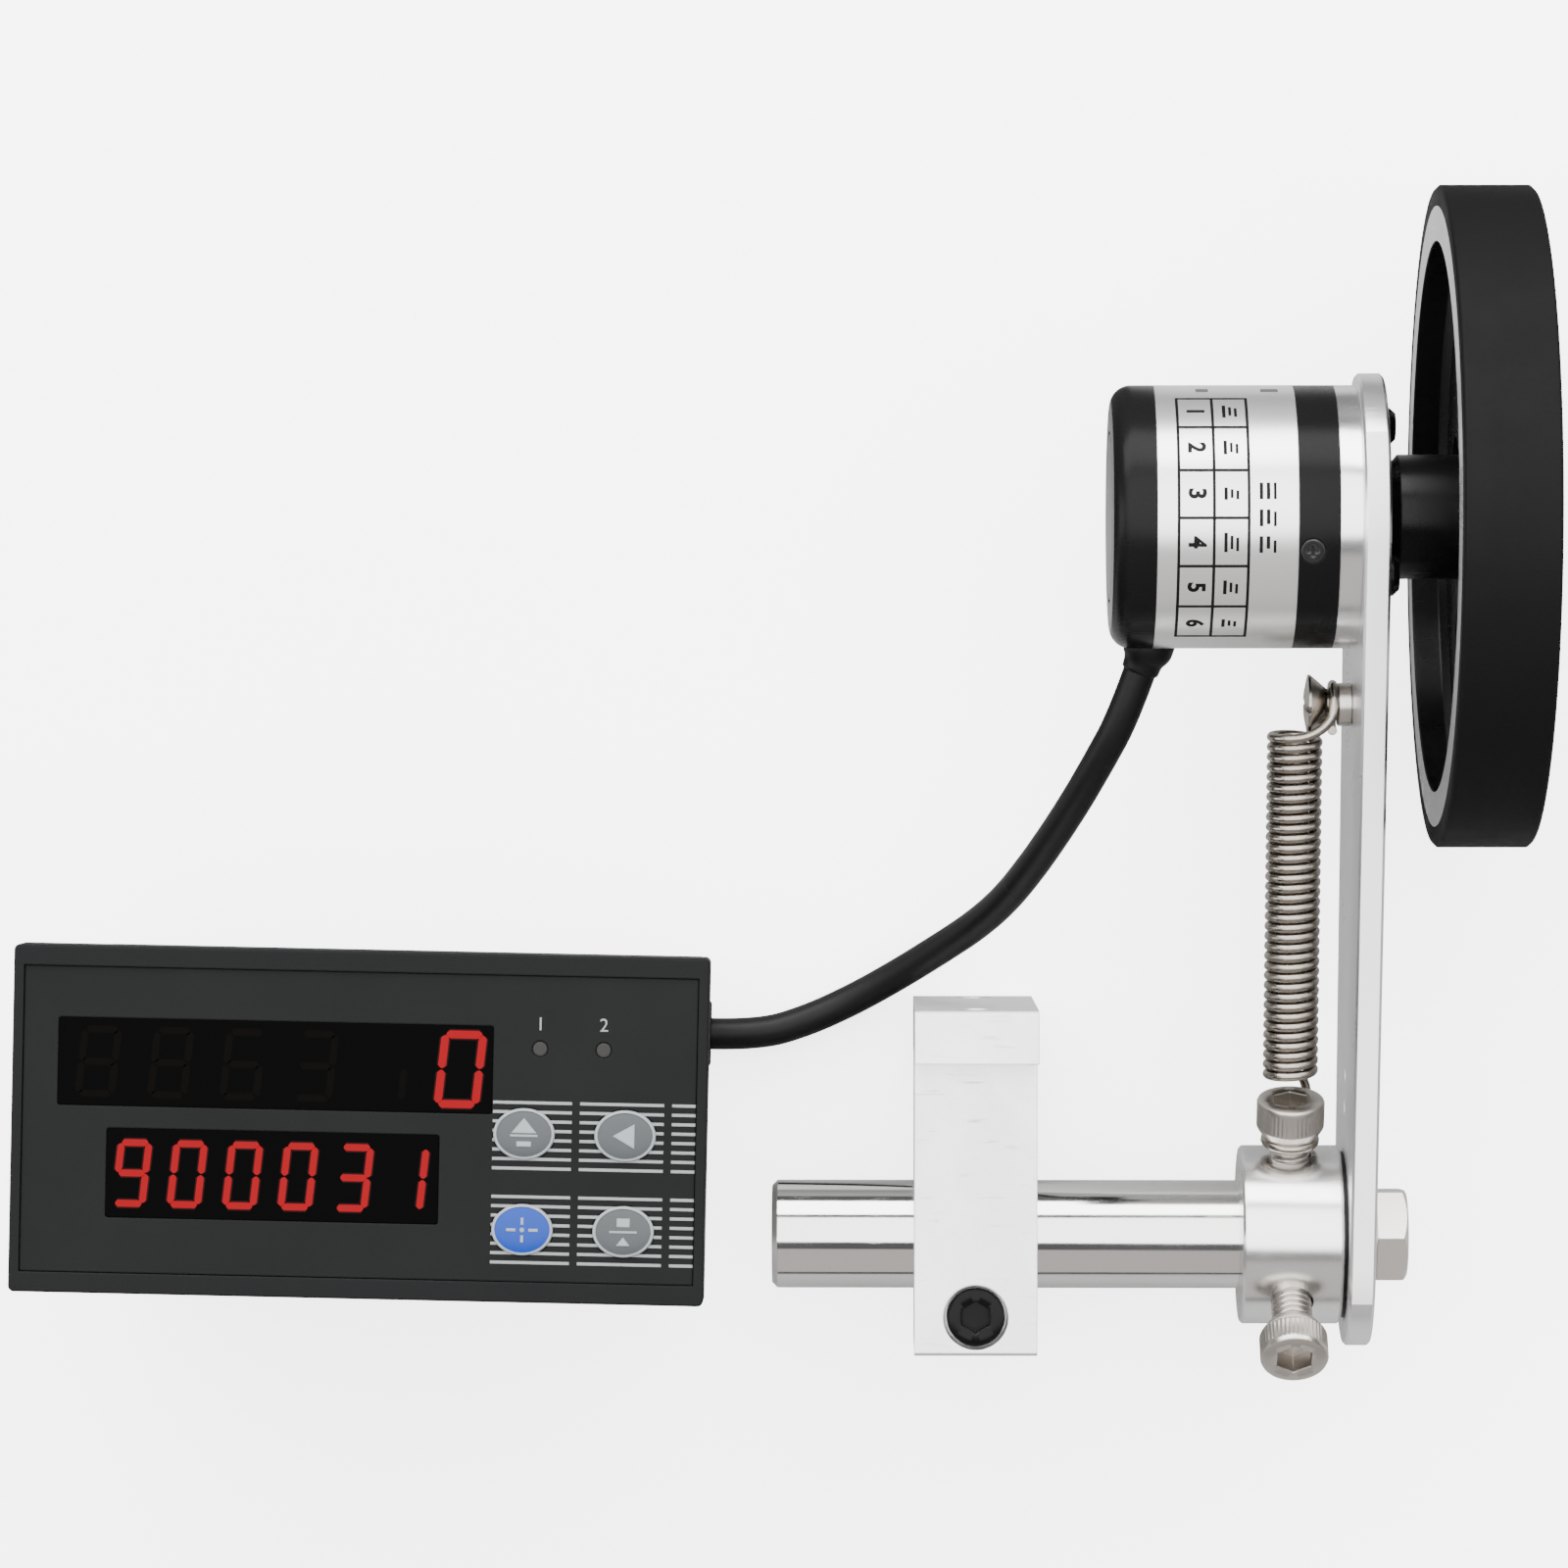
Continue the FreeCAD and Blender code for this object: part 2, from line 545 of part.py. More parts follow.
def make_encoder_screws():
    screws = []
    for y, z in m3_places():
        seat = ARM_RIGHT_X
        head = turned([(seat, 0), (seat, M3_HEAD_R), (seat + M3_HEAD_LENGTH / 2, M3_HEAD_R),
                       (seat + M3_HEAD_LENGTH, M3_HEAD_R * 0.7), (seat + M3_HEAD_LENGTH, 0)])
        shank = rod_x(M3_R, (seat - M3_LENGTH, seat))
        screw = head.fuse(shank)
        socket = moved(hexagon(M3_HEX_FLATS, (M3_HEAD_LENGTH / 2, M3_HEAD_LENGTH + CUT_OVER)),
                       Placement(Vector(seat, 0, 0), Rotation(AXIS_Y, 90)))
        screw = screw.cut(socket).removeSplitter()
        screws.append(on_encoder(moved(screw, Placement(Vector(0, y, z), Rotation()))))
    keep("encoder_screws", *screws)


# Tension spring: one wire with a hook under the screw head and a side loop on the post

def arc_from(start, tangent, end):
    """The arc that leaves a point along a tangent and ends at another point."""
    chord = end - start
    side = tangent - chord * (tangent.dot(chord) / chord.dot(chord))
    angle = tangent.getAngle(chord)
    if side.Length < 1e-9:
        return Part.LineSegment(start, end).toShape()
    side.normalize()
    middle = start + chord * 0.5 + side * (chord.Length / 2 * math.tan(angle / 2))
    return Part.Arc(start, middle, end).toShape()


def biarc(start, t0, end, t1):
    """Two arcs that join two points with given tangents."""
    v = end - start
    t = t0 + t1
    bend = 1 - t0.dot(t1)
    if bend < 1e-9:
        reach = v.dot(v) / (4 * v.dot(t0))
    else:
        reach = (math.sqrt(v.dot(t) ** 2 + 2 * bend * v.dot(v)) - v.dot(t)) / (2 * bend)
    middle = (start + end + (t0 - t1) * reach) * 0.5
    second = arc_from(end, t1 * -1, middle)
    return [arc_from(start, t0, middle), second]


def spring_stations():
    """Points and tangents along the wire, from the lower hook's tip to the upper loop's tip."""
    tilt = math.radians(UPPER_SCREW_ANGLE)
    screw_out = Vector(0, math.sin(tilt), math.cos(tilt))
    hook_up = Vector(0, math.cos(tilt), -math.sin(tilt))
    hook_r = SCREW_SEAT_R + UPPER_SCREW_LENGTH - HOOK_UNDER_HEAD
    hook = Vector(SCREW_X, ROD_Y, 0) + screw_out * hook_r
    lean = math.radians(ARM_LEAN)
    loop_x = ARM_LEFT_X - LOOP_FROM_ARM
    slack = LOOP_MEAN_R - WIRE_D / 2 - POST_NECK_R - SEAT_GAP
    loop = Vector(loop_x, ROD_Y + POST_ALONG * math.cos(lean) - slack, POST_ALONG * math.sin(lean))
    foot = hook + Vector(0, COIL_FOOT_AHEAD, COIL_FOOT_LIFT)
    axis = Vector(0, loop.y - foot.y, loop.z - foot.z)
    coil_length = axis.Length - COIL_ENDS
    axis.normalize()
    back = Vector(0, axis.z, -axis.y)
    curls = int(coil_length / COIL_PITCH)
    rise = coil_length / curls / (2 * math.pi)

    stations = []
    for degrees in range(-270, 1, 45):
        a = math.radians(degrees)
        point = hook + (AXIS_X * math.cos(a) + hook_up * math.sin(a)) * HOOK_MEAN_R
        stations.append((point, hook_up * math.cos(a) - AXIS_X * math.sin(a)))
    bend = hook + AXIS_X * (HOOK_MEAN_R - WIRE_D / 2) + hook_up * (COLLAR_HEAD_R + WIRE_D)
    stations.append((bend, Vector(-WIRE_D, COIL_FOOT_AHEAD, -WIRE_D).normalize()))
    steps = curls * 4 + 2
    for k in range(steps + 1):
        a = math.pi / 2 * (k + 1)
        around = AXIS_X * math.cos(a) + back * math.sin(a)
        forward = back * math.cos(a) - AXIS_X * math.sin(a)
        point = foot + around * COIL_MEAN_R + axis * (rise * math.pi / 2 * k)
        stations.append((point, (forward * COIL_MEAN_R + axis * rise).normalize()))
    for degrees in range(0, 286, 45):
        a = math.radians(degrees)
        out = AXIS_Z * math.cos(a) + AXIS_Y * math.sin(a)
        stations.append((loop + out * LOOP_MEAN_R, AXIS_Y * math.cos(a) - AXIS_Z * math.sin(a)))
    return stations, curls


def least_gap(points, wire):
    """The least gap of a wire to itself, from points spread evenly along it."""
    skip = int(wire * math.pi / (points[1] - points[0]).Length) + 1
    nearest = min((points[i] - points[j]).Length
                  for i in range(len(points)) for j in range(i + skip, min(i + 160, len(points))))
    return nearest - wire


def make_spring():
    stations, curls = spring_stations()
    edges = []
    for (p0, t0), (p1, t1) in zip(stations, stations[1:]):
        edges += biarc(p0, t0, p1, t1)
    path = Part.Wire(edges)
    start, tangent = stations[0]
    circle = Part.Circle(start, tangent, WIRE_D / 2)
    corners = [circle.value(2 * math.pi * k / WIRE_SIDES) for k in range(WIRE_SIDES)]
    section = Part.makePolygon(corners + corners[:1])
    spring = path.makePipeShell([section], True, False)
    points = path.discretize(Distance=WIRE_D / 4)
    print("spring: wire length", round(path.Length, 1), "curls", curls,
          "least gap to itself", round(least_gap(points, WIRE_D), 3))
    keep("tension_spring", spring)


# Encoder, from the flange on the arm to the rounded rear cap; X = 0 is the arm's left face

def make_encoder():
    flange_x = -ENCODER_FLANGE
    spigot_r = ENCODER_R - ENCODER_WALL - SEAT_GAP
    bore_r = BEARING_R + SEAT_GAP / 2
    spigot_end = flange_x - SPIGOT_LENGTH
    bearing_front = (-BEARING_WIDTH, 0)
    bearing_rear = (spigot_end, spigot_end + BEARING_WIDTH)
    flange = turned([(0, SHAFT_R + SCREW_PLAY), (0, ENCODER_R), (flange_x, ENCODER_R),
                     (flange_x, spigot_r), (spigot_end, spigot_r - SPIGOT_WALL / 2),
                     (spigot_end, SHAFT_R + SCREW_PLAY)])
    flange = flange.fuse(ring_x(BOSS_R, SHAFT_R + SCREW_PLAY, (0, BOSS_LENGTH)))
    for span in (bearing_front, bearing_rear):
        flange = flange.cut(rod_x(bore_r, span))
    hole = (-M3_LENGTH + ARM_THICK - CUT_OVER, CUT_OVER)
    for y, z in m3_places():
        flange = flange.cut(rod_x(M3_R + THREAD_GAP, hole, y, z))
    place = Placement(Vector(ARM_LEFT_X, 0, 0), Rotation())

    cover_end = flange_x - ENCODER_BAND - ENCODER_LABEL - ENCODER_CAP
    label = (flange_x - ENCODER_BAND - ENCODER_LABEL, flange_x - ENCODER_BAND)
    inner = spigot_r + SEAT_GAP
    cover = rod_x(ENCODER_R, (cover_end, flange_x))
    rim = [e for e in cover.Edges if e.BoundBox.XMax < cover_end + CUT_OVER]
    cover = cover.makeFillet(CAP_RIM_R, rim)
    cover = cover.cut(rod_x(inner, (cover_end + ENCODER_WALL, flange_x + CUT_OVER)))
    cover = cover.cut(ring_x(ENCODER_R + CUT_OVER, ENCODER_R - LABEL_THICK, label))
    cover = cover.cut(ring_x(CAP_GROOVE_R + CAP_GROOVE_WIDTH, CAP_GROOVE_R,
                             (cover_end - CUT_OVER, cover_end + CAP_GROOVE_WIDTH / 2)))
    wrap = ring_x(ENCODER_R, ENCODER_R - LABEL_THICK, label)

    gland_x = -GLAND_FROM_ARM
    tilt = Rotation(AXIS_Z, -GLAND_TILT)
    root = Placement(Vector(gland_x, -ENCODER_R, 0), tilt)
    down = Vector(0, -1, 0)
    cone = Part.makeCone(GLAND_ROOT_R, GLAND_TIP_R, GLAND_LENGTH, Vector(0, 0, 0), down)
    neck = rod_y(GLAND_ROOT_R, (0, GLAND_FOOT))
    foot = rod_y(GLAND_FOOT_R, (GLAND_FOOT, GLAND_FOOT + GLAND_FOOT_THICK))
    gland = moved(cone.fuse(neck).fuse(foot).removeSplitter(), root)
    passage = moved(rod_y(GLAND_ROOT_R + SEAT_GAP / 2, (-GLAND_ROOT_R, GLAND_FOOT)), root)
    cover = cover.cut(passage)
    inside = rod_x(inner + CUT_OVER, (gland_x - 2 * ENCODER_R, gland_x + 2 * ENCODER_R))
    wrap = wrap.cut(passage)

    turn = math.radians(90 - COVER_SCREW_ANGLE)
    screw_x = flange_x - COVER_SCREW_INSET
    out = Vector(0, -math.cos(turn), math.sin(turn))
    side = Placement(Vector(screw_x, 0, 0) + out * ENCODER_R, Rotation(AXIS_Z, out))
    shank = rod_z(COVER_SCREW_R, (-COVER_SCREW_LENGTH, 0))
    head = rod_z(COVER_SCREW_HEAD_R, (-COVER_SCREW_HEAD_LENGTH, 0))
    screw = head.fuse(shank).removeSplitter()
    for w, h in ((DRIVE_CROSS_WIDTH, COVER_SCREW_HEAD_R), (COVER_SCREW_HEAD_R, DRIVE_CROSS_WIDTH)):
        screw = screw.cut(box((-w / 2, w / 2), (-h / 2, h / 2), (-COVER_SCREW_HEAD_LENGTH / 2, CUT_OVER)))
    sunk = rod_z(COVER_SCREW_HEAD_R + SEAT_GAP, (-COVER_SCREW_HEAD_LENGTH - SEAT_GAP, CUT_OVER))
    bored = rod_z(COVER_SCREW_R + THREAD_GAP, (-COVER_SCREW_LENGTH - SEAT_GAP, 0))
    cover = cover.cut(moved(sunk.fuse(bored), side))
    flange = flange.cut(moved(bored, side))

    keep("encoder_flange", on_encoder(moved(flange.removeSplitter(), place)))
    keep("encoder_cover", on_encoder(moved(cover, place)))
    keep("encoder_label", on_encoder(moved(wrap, place)))
    keep("cable_gland", on_encoder(moved(gland, place)))
    keep("cover_screw", on_encoder(moved(moved(screw, side), place)))

    bearings = []
    for span in (bearing_front, bearing_rear):
        whole = ring_x(BEARING_R, SHAFT_R + RUN_GAP / 2, span, EDGE / 2)
        bearings.append(on_encoder(moved(whole, place)))
    keep("encoder_bearings", *bearings)

    disc_x = spigot_end - DISC_HUB_LENGTH
    disc = ring_x(DISC_R, SHAFT_R + THREAD_GAP, (disc_x, disc_x + DISC_THICK))
    disc = disc.fuse(ring_x(DISC_HUB_R, SHAFT_R + THREAD_GAP, (disc_x, spigot_end - END_PLAY * 4)))
    slot_r = DISC_R - DISC_SLOT_LENGTH
    slot = box((disc_x - CUT_OVER, disc_x + DISC_THICK + CUT_OVER),
               (slot_r - DISC_SLOT_LENGTH / 2, slot_r + DISC_SLOT_LENGTH / 2),
               (-DISC_SLOT_WIDTH / 2, DISC_SLOT_WIDTH / 2))
    slots = [moved(slot, Placement(Vector(), Rotation(AXIS_X, 360 * k / DISC_SLOTS)))
             for k in range(DISC_SLOTS)]
    disc = disc.cut(slots)
    keep("code_disc", on_encoder(moved(disc.removeSplitter(), place)))

    middle = disc_x + DISC_THICK / 2
    board_x = middle - SENSOR_SLOT / 2 - SENSOR_WALL
    board = rod_x(SENSOR_BOARD_R, (board_x - BOARD_THICK, board_x))
    for side in (-1, 1):
        post = rod_x(SENSOR_POST_R, (board_x, spigot_end), 0, side * SENSOR_POST_OUT)
        board = board.fuse(post)
    keep("encoder_board", on_encoder(moved(board, place)))
    sensor = box((board_x, middle + SENSOR_SLOT / 2 + SENSOR_WALL),
                 (slot_r - SENSOR_DEPTH / 2, slot_r + SENSOR_DEPTH), (-SENSOR_WIDTH / 2, SENSOR_WIDTH / 2))
    gap = box((middle - SENSOR_SLOT / 2, middle + SENSOR_SLOT / 2),
              (0, DISC_R + SENSOR_SLOT / 2), (-SENSOR_WIDTH, SENSOR_WIDTH))
    sensor = sensor.cut(gap).common(inside)
    keep("optical_sensor", on_encoder(moved(sensor, place)))
    return disc_x


# Measuring wheel: shaft, hub with its web and rim, and the rubber tread

def make_wheel(shaft_start):
    near = WHEEL_GAP
    far = WHEEL_GAP + WHEEL_WIDTH
    nose = HUB_FROM_ARM
    web = (near + WEB_INSET, near + WEB_INSET + WEB_THICK)
    tail = web[1] + HUB_TAIL
    rim_r = WHEEL_R - TREAD_THICK
    place = Placement(Vector(ARM_RIGHT_X, 0, 0), Rotation())
    bore = SHAFT_R + THREAD_GAP
    hub = turned([(nose, bore), (nose, HUB_NOSE_R), (nose + HUB_NOSE_CHAMFER, HUB_R), (web[0], HUB_R),
                  (web[0], RIM_INNER_R), (near, RIM_INNER_R), (near, rim_r), (far, rim_r),
                  (far, RIM_INNER_R), (web[1], RIM_INNER_R), (web[1], HUB_R), (tail, HUB_R),
                  (tail, bore)])
    corners = [e for e in hub.Edges if web[0] - EDGE < e.CenterOfMass.x < web[1] + EDGE
               and e.BoundBox.XLength < EDGE and e.BoundBox.YLength > HUB_R * 2 - EDGE]
    hub = hub.makeChamfer(WEB_BEVEL, corners)
    for k in range(WEB_HOLES):
        angle = 2 * math.pi * (k + 0.5) / WEB_HOLES
        y = WEB_HOLE_CIRCLE_R * math.cos(angle)
        z = WEB_HOLE_CIRCLE_R * math.sin(angle)
        hub = hub.cut(rod_x(WEB_HOLE_R, (web[0] - WEB_BEVEL, web[1] + WEB_BEVEL), y, z))
    screw_x = nose + SET_SCREW_FROM_NOSE
    away = Vector(0, 0, -1)
    tapped = Part.makeCylinder(SET_SCREW_R + THREAD_GAP, HUB_R + CUT_OVER, Vector(screw_x, 0, 0), away)
    hub = hub.cut(tapped)
    keep("wheel_hub", on_encoder(moved(hub, place)))

    inner = SHAFT_R + SEAT_GAP
    set_screw = Part.makeCylinder(SET_SCREW_R, SET_SCREW_LENGTH, Vector(screw_x, 0, -inner), away)
    socket = hexagon(SET_SCREW_FLATS, (0, SET_SCREW_LENGTH / 2))
    bottom = -inner - SET_SCREW_LENGTH
    socket = moved(socket, Placement(Vector(screw_x, 0, bottom), Rotation()))
    keep("hub_set_screw", on_encoder(moved(set_screw.cut(socket), place)))

    tread = ring_x(WHEEL_R, rim_r, (near, far), TREAD_EDGE)
    keep("wheel_tread", on_encoder(moved(tread, place)))

    start = shaft_start - DISC_THICK
    shaft = turned([(start, 0), (start, SHAFT_R - EDGE), (start + EDGE, SHAFT_R),
                    (ARM_THICK + tail - EDGE, SHAFT_R), (ARM_THICK + tail, SHAFT_R - EDGE),
                    (ARM_THICK + tail, 0)])
    keep("encoder_shaft", on_encoder(moved(shaft, Placement(Vector(ARM_LEFT_X, 0, 0), Rotation()))))


# Panel meter: bezel, front panel, windows, displays, lamps, keys and their switches

def window_plate(limits, gap, z):
    """A rounded plate inside a window's limits."""
    left, right, bottom, top = limits
    return rounded_plate((left + gap, right - gap), (bottom + gap, top - gap), z, WINDOW_CORNER)


def make_meter_front():
    half_w = BEZEL_WIDTH / 2
    half_h = BEZEL_HEIGHT / 2
    bezel = rounded_plate((-half_w, half_w), (-half_h, half_h), (-BEZEL_DEPTH, 0), BEZEL_CORNER)
    front = [e for e in bezel.Edges if e.BoundBox.ZMin > -EDGE]
    bezel = bezel.makeChamfer(EDGE / 2, front)
    pocket_w = half_w - BEZEL_SIDE
    pocket_h = half_h - BEZEL_TOP
    panel_back = -PANEL_INSET - PANEL_THICK
    bezel = bezel.cut(box((-pocket_w, pocket_w), (-pocket_h, pocket_h), (panel_back, CUT_OVER)))
    open_w = pocket_w - BEZEL_LEDGE
    open_h = pocket_h - BEZEL_LEDGE
    bezel = bezel.cut(box((-open_w, open_w), (-open_h, open_h), (-BEZEL_DEPTH - CUT_OVER, 0)))
    seat_w = HOUSING_WIDTH / 2 + SEAT_GAP
    seat_h = HOUSING_HEIGHT / 2 + SEAT_GAP
    seat = (-BEZEL_DEPTH - CUT_OVER, -BEZEL_DEPTH + BEZEL_BACK_RECESS)
    bezel = bezel.cut(box((-seat_w, seat_w), (-seat_h, seat_h), seat))
    keep("meter_bezel", on_meter(bezel))

    fit_w = pocket_w - SEAT_GAP
    fit_h = pocket_h - SEAT_GAP
    panel = box((-fit_w, fit_w), (-fit_h, fit_h), (panel_back, -PANEL_INSET))
    cut = (panel_back - CUT_OVER, CUT_OVER)
    for limits in (UPPER_WINDOW, LOWER_WINDOW):
        panel = panel.cut(window_plate(limits, 0, cut))
    for x in KEY_XS:
        for y in KEY_YS:
            panel = panel.cut(oval_bar(KEY_HALF_WIDTH + KEY_GAP, KEY_HALF_HEIGHT + KEY_GAP, cut, x, y))
    for x in LED_XS:
        panel = panel.cut(rod_z(LED_R + SEAT_GAP, cut, x, LED_Y))
    keep("front_panel", on_meter(panel))

    window_z = (panel_back, -PANEL_INSET)
    windows = [on_meter(window_plate(limits, SEAT_GAP / 2, window_z))
               for limits in (UPPER_WINDOW, LOWER_WINDOW)]
    keep("display_windows", *windows)

    board_front = panel_back - SEAT_GAP - DISPLAY_THICK
    for name, limits in (("upper_display", UPPER_WINDOW), ("lower_display", LOWER_WINDOW)):
        left, right, bottom, top = limits
        module = box((left - DISPLAY_MARGIN, right + DISPLAY_MARGIN),
                     (bottom - DISPLAY_MARGIN, top + DISPLAY_MARGIN),
                     (board_front, panel_back - SEAT_GAP))
        keep(name, on_meter(module))

    board_w = HOUSING_WIDTH / 2 - HOUSING_WALL - FRONT_BOARD_GAP
    board_h = HOUSING_HEIGHT / 2 - HOUSING_WALL - FRONT_BOARD_GAP
    board = box((-board_w, board_w), (-board_h, board_h), (board_front - BOARD_THICK, board_front))
    keep("display_board", on_meter(board))

    lamps = []
    for x in LED_XS:
        lamp = rod_z(LED_R, (board_front, -PANEL_INSET), x, LED_Y)
        lamp = lamp.fuse(rod_z(LED_RIM_R, (board_front, board_front + LED_RIM_THICK), x, LED_Y))
        lamps.append(on_meter(lamp.removeSplitter()))
    keep("indicator_lamps", *lamps)
    return panel_back, board_front


def make_keys(panel_back, board_front):
    names = {(0, 0): "key_up", (1, 0): "key_left", (0, 1): "key_set", (1, 1): "key_reset"}
    lip_top = panel_back - SEAT_GAP
    lip_bottom = lip_top - KEY_LIP_THICK
    body_top = board_front + SWITCH_BODY
    plunger_top = (body_top + lip_bottom) / 2
    stem_end = plunger_top + KEY_TRAVEL + SEAT_GAP
    switches = []
    for (column, row), name in names.items():
        x = KEY_XS[column]
        y = KEY_YS[row]
        cap = oval_bar(KEY_HALF_WIDTH, KEY_HALF_HEIGHT, (lip_bottom, KEY_PROUD - PANEL_INSET), x, y)
        rim = [e for e in cap.Edges if e.BoundBox.ZMin > lip_bottom + EDGE
               and e.BoundBox.ZLength < EDGE]
        cap = cap.makeChamfer(KEY_EDGE, rim)
        lip = oval_bar(KEY_HALF_WIDTH + KEY_LIP, KEY_HALF_HEIGHT + KEY_LIP, (lip_bottom, lip_top), x, y)
        stem = rod_z(KEY_STEM_R, (stem_end, lip_bottom), x, y)
        keep(name, on_meter(cap.fuse(lip).fuse(stem).removeSplitter()))
        half = SWITCH_SIDE / 2
        switch = box((x - half, x + half), (y - half, y + half), (board_front, body_top))
        switch = switch.fuse(rod_z(SWITCH_PLUNGER_R, (body_top, plunger_top), x, y))
        switches.append(on_meter(switch.removeSplitter()))
    keep("key_switches", *switches)


# Meter housing, its boards, rear cover, terminals, clips and the cable's plug

def make_meter_rear(board_front):
    half_w = HOUSING_WIDTH / 2
    half_h = HOUSING_HEIGHT / 2
    front = -BEZEL_DEPTH + BEZEL_BACK_RECESS - SEAT_GAP
    rear = HOUSING_REAR_Z
    inner_w = half_w - HOUSING_WALL
    inner_h = half_h - HOUSING_WALL
    housing = rounded_plate((-half_w, half_w), (-half_h, half_h), (rear, front), BEZEL_CORNER)
    housing = housing.cut(box((-inner_w, inner_w), (-inner_h, inner_h), (rear - CUT_OVER, front + CUT_OVER)))
    for k in range(HOUSING_VENTS):
        x = (k - (HOUSING_VENTS - 1) / 2) * VENT_STEP
        vent = box((x - VENT_WIDTH / 2, x + VENT_WIDTH / 2), (-half_h - CUT_OVER, half_h + CUT_OVER),
                   (rear + VENT_FROM_REAR, rear + VENT_FROM_REAR + VENT_LENGTH))
        housing = housing.cut(vent)
    keep("meter_housing", on_meter(housing))

    cover_z = (rear, rear + REAR_COVER_THICK)
    cover = box((-inner_w + SEAT_GAP, inner_w - SEAT_GAP), (-inner_h + SEAT_GAP, inner_h - SEAT_GAP), cover_z)
    keep("rear_cover", on_meter(cover))

    board_y = (POWER_BOARD_Y - BOARD_THICK, POWER_BOARD_Y)
    board_w = inner_w - POWER_BOARD_GAP
    board = box((-board_w, board_w), board_y, (cover_z[1], board_front - BOARD_THICK))
    keep("power_board", on_meter(board))

    def on_board(shares, step, width, height, depth):
        x = HOUSING_WIDTH * shares[0] + step
        z = -METER_DEPTH * shares[1]
        return on_meter(box((x - width / 2, x + width / 2), (POWER_BOARD_Y, POWER_BOARD_Y + height),
                            (z - depth, z)))

    keep("power_transformer", on_board(TRANSFORMER_SHARES, 0, HOUSING_WIDTH * TRANSFORMER_WIDTH_SHARE,
                                       TRANSFORMER_HEIGHT, METER_DEPTH * TRANSFORMER_DEPTH_SHARE))
    steps = [k * HOUSING_WIDTH * RELAY_STEP_SHARE for k in range(2)]
    keep("alarm_relays", *[on_board(RELAY_SHARES, step, HOUSING_WIDTH * RELAY_WIDTH_SHARE, RELAY_HEIGHT,
                                    METER_DEPTH * RELAY_DEPTH_SHARE) for step in steps])
    x = HOUSING_WIDTH * CAPACITOR_SHARES[0]
    z = -METER_DEPTH * CAPACITOR_SHARES[1]
    steps = [k * HOUSING_WIDTH * CAPACITOR_STEP_SHARE for k in range(2)]
    keep("filter_capacitors", *[on_meter(rod_y(HOUSING_WIDTH * CAPACITOR_R_SHARE,
                                               (POWER_BOARD_Y, POWER_BOARD_Y + CAPACITOR_LENGTH),
                                               x + step, z)) for step in steps])

    back = -METER_DEPTH
    blocks = []
    screws = []
    pitch = TERMINAL_WIDTH / TERMINAL_COUNT
    for side in (-1, 1):
        y0 = side * TERMINAL_GAP / 2
        span = sorted((y0, y0 + side * TERMINAL_HEIGHT))
        strip = box((-TERMINAL_WIDTH / 2, TERMINAL_WIDTH / 2), span, (back, rear))
        mouth_y = sorted((y0 + side * (TERMINAL_HEIGHT - TERMINAL_MOUTH_DEPTH),
                          y0 + side * (TERMINAL_HEIGHT + CUT_OVER)))
        for k in range(TERMINAL_COUNT):
            x = (k - (TERMINAL_COUNT - 1) / 2) * pitch
            y = y0 + side * TERMINAL_HEIGHT / 2
            bore = rod_z(TERMINAL_SCREW_R + SEAT_GAP, (back - CUT_OVER, back + TERMINAL_SINK
                                                       + TERMINAL_SCREW_LENGTH), x, y)
            mouth_z = back + TERMINAL_MOUTH_RISE
            mouth = box((x - TERMINAL_MOUTH_WIDTH / 2, x + TERMINAL_MOUTH_WIDTH / 2), mouth_y,
                        (mouth_z, mouth_z + TERMINAL_MOUTH_HEIGHT))
            strip = strip.cut([bore, mouth])
            screw = rod_z(TERMINAL_SCREW_R, (back + TERMINAL_SINK,
                                             back + TERMINAL_SINK + TERMINAL_SCREW_LENGTH), x, y)
            slot = box((x - TERMINAL_SCREW_R, x + TERMINAL_SCREW_R),
                       (y - TERMINAL_SLOT_WIDTH / 2, y + TERMINAL_SLOT_WIDTH / 2),
                       (back, back + TERMINAL_SINK + TERMINAL_SLOT_WIDTH))
            screws.append(on_meter(screw.cut(slot)))
        blocks.append(on_meter(strip))
    keep("terminal_blocks", *blocks)
    keep("terminal_screws", *screws)

    clips = []
    clip_z = (-BEZEL_DEPTH - CLIP_BEHIND_BEZEL - CLIP_LENGTH, -BEZEL_DEPTH - CLIP_BEHIND_BEZEL)
    for side in (-1, 1):
        inner = side * half_w
        outer = side * (half_w + CLIP_THICK)
        clip = box(sorted((inner, outer)), (-CLIP_HEIGHT / 2, CLIP_HEIGHT / 2), clip_z)
        for k in range(CLIP_GROOVES):
            z = clip_z[0] + (k + 1) * CLIP_LENGTH / (CLIP_GROOVES + 1)
            floor = outer - side * CLIP_GROOVE / 2
            groove = sorted((floor, outer + side * CUT_OVER))
            clip = clip.cut(box(groove, (-CLIP_HEIGHT / 2 - CUT_OVER, CLIP_HEIGHT / 2 + CUT_OVER),
                                (z - CLIP_GROOVE / 2, z + CLIP_GROOVE / 2)))
        clips.append(on_meter(clip))
    keep("mounting_clips", *clips)

    plug_x = TERMINAL_WIDTH / 2
    plug = box((plug_x, plug_x + PLUG_LENGTH), (PLUG_Y - PLUG_HEIGHT / 2, PLUG_Y + PLUG_HEIGHT / 2),
               (back + PLUG_OVER_BENCH, back + PLUG_OVER_BENCH + PLUG_DEPTH))
    ends = [e for e in plug.Edges if e.BoundBox.XMin > plug_x + EDGE]
    keep("signal_plug", on_meter(plug.makeChamfer(EDGE, ends)))


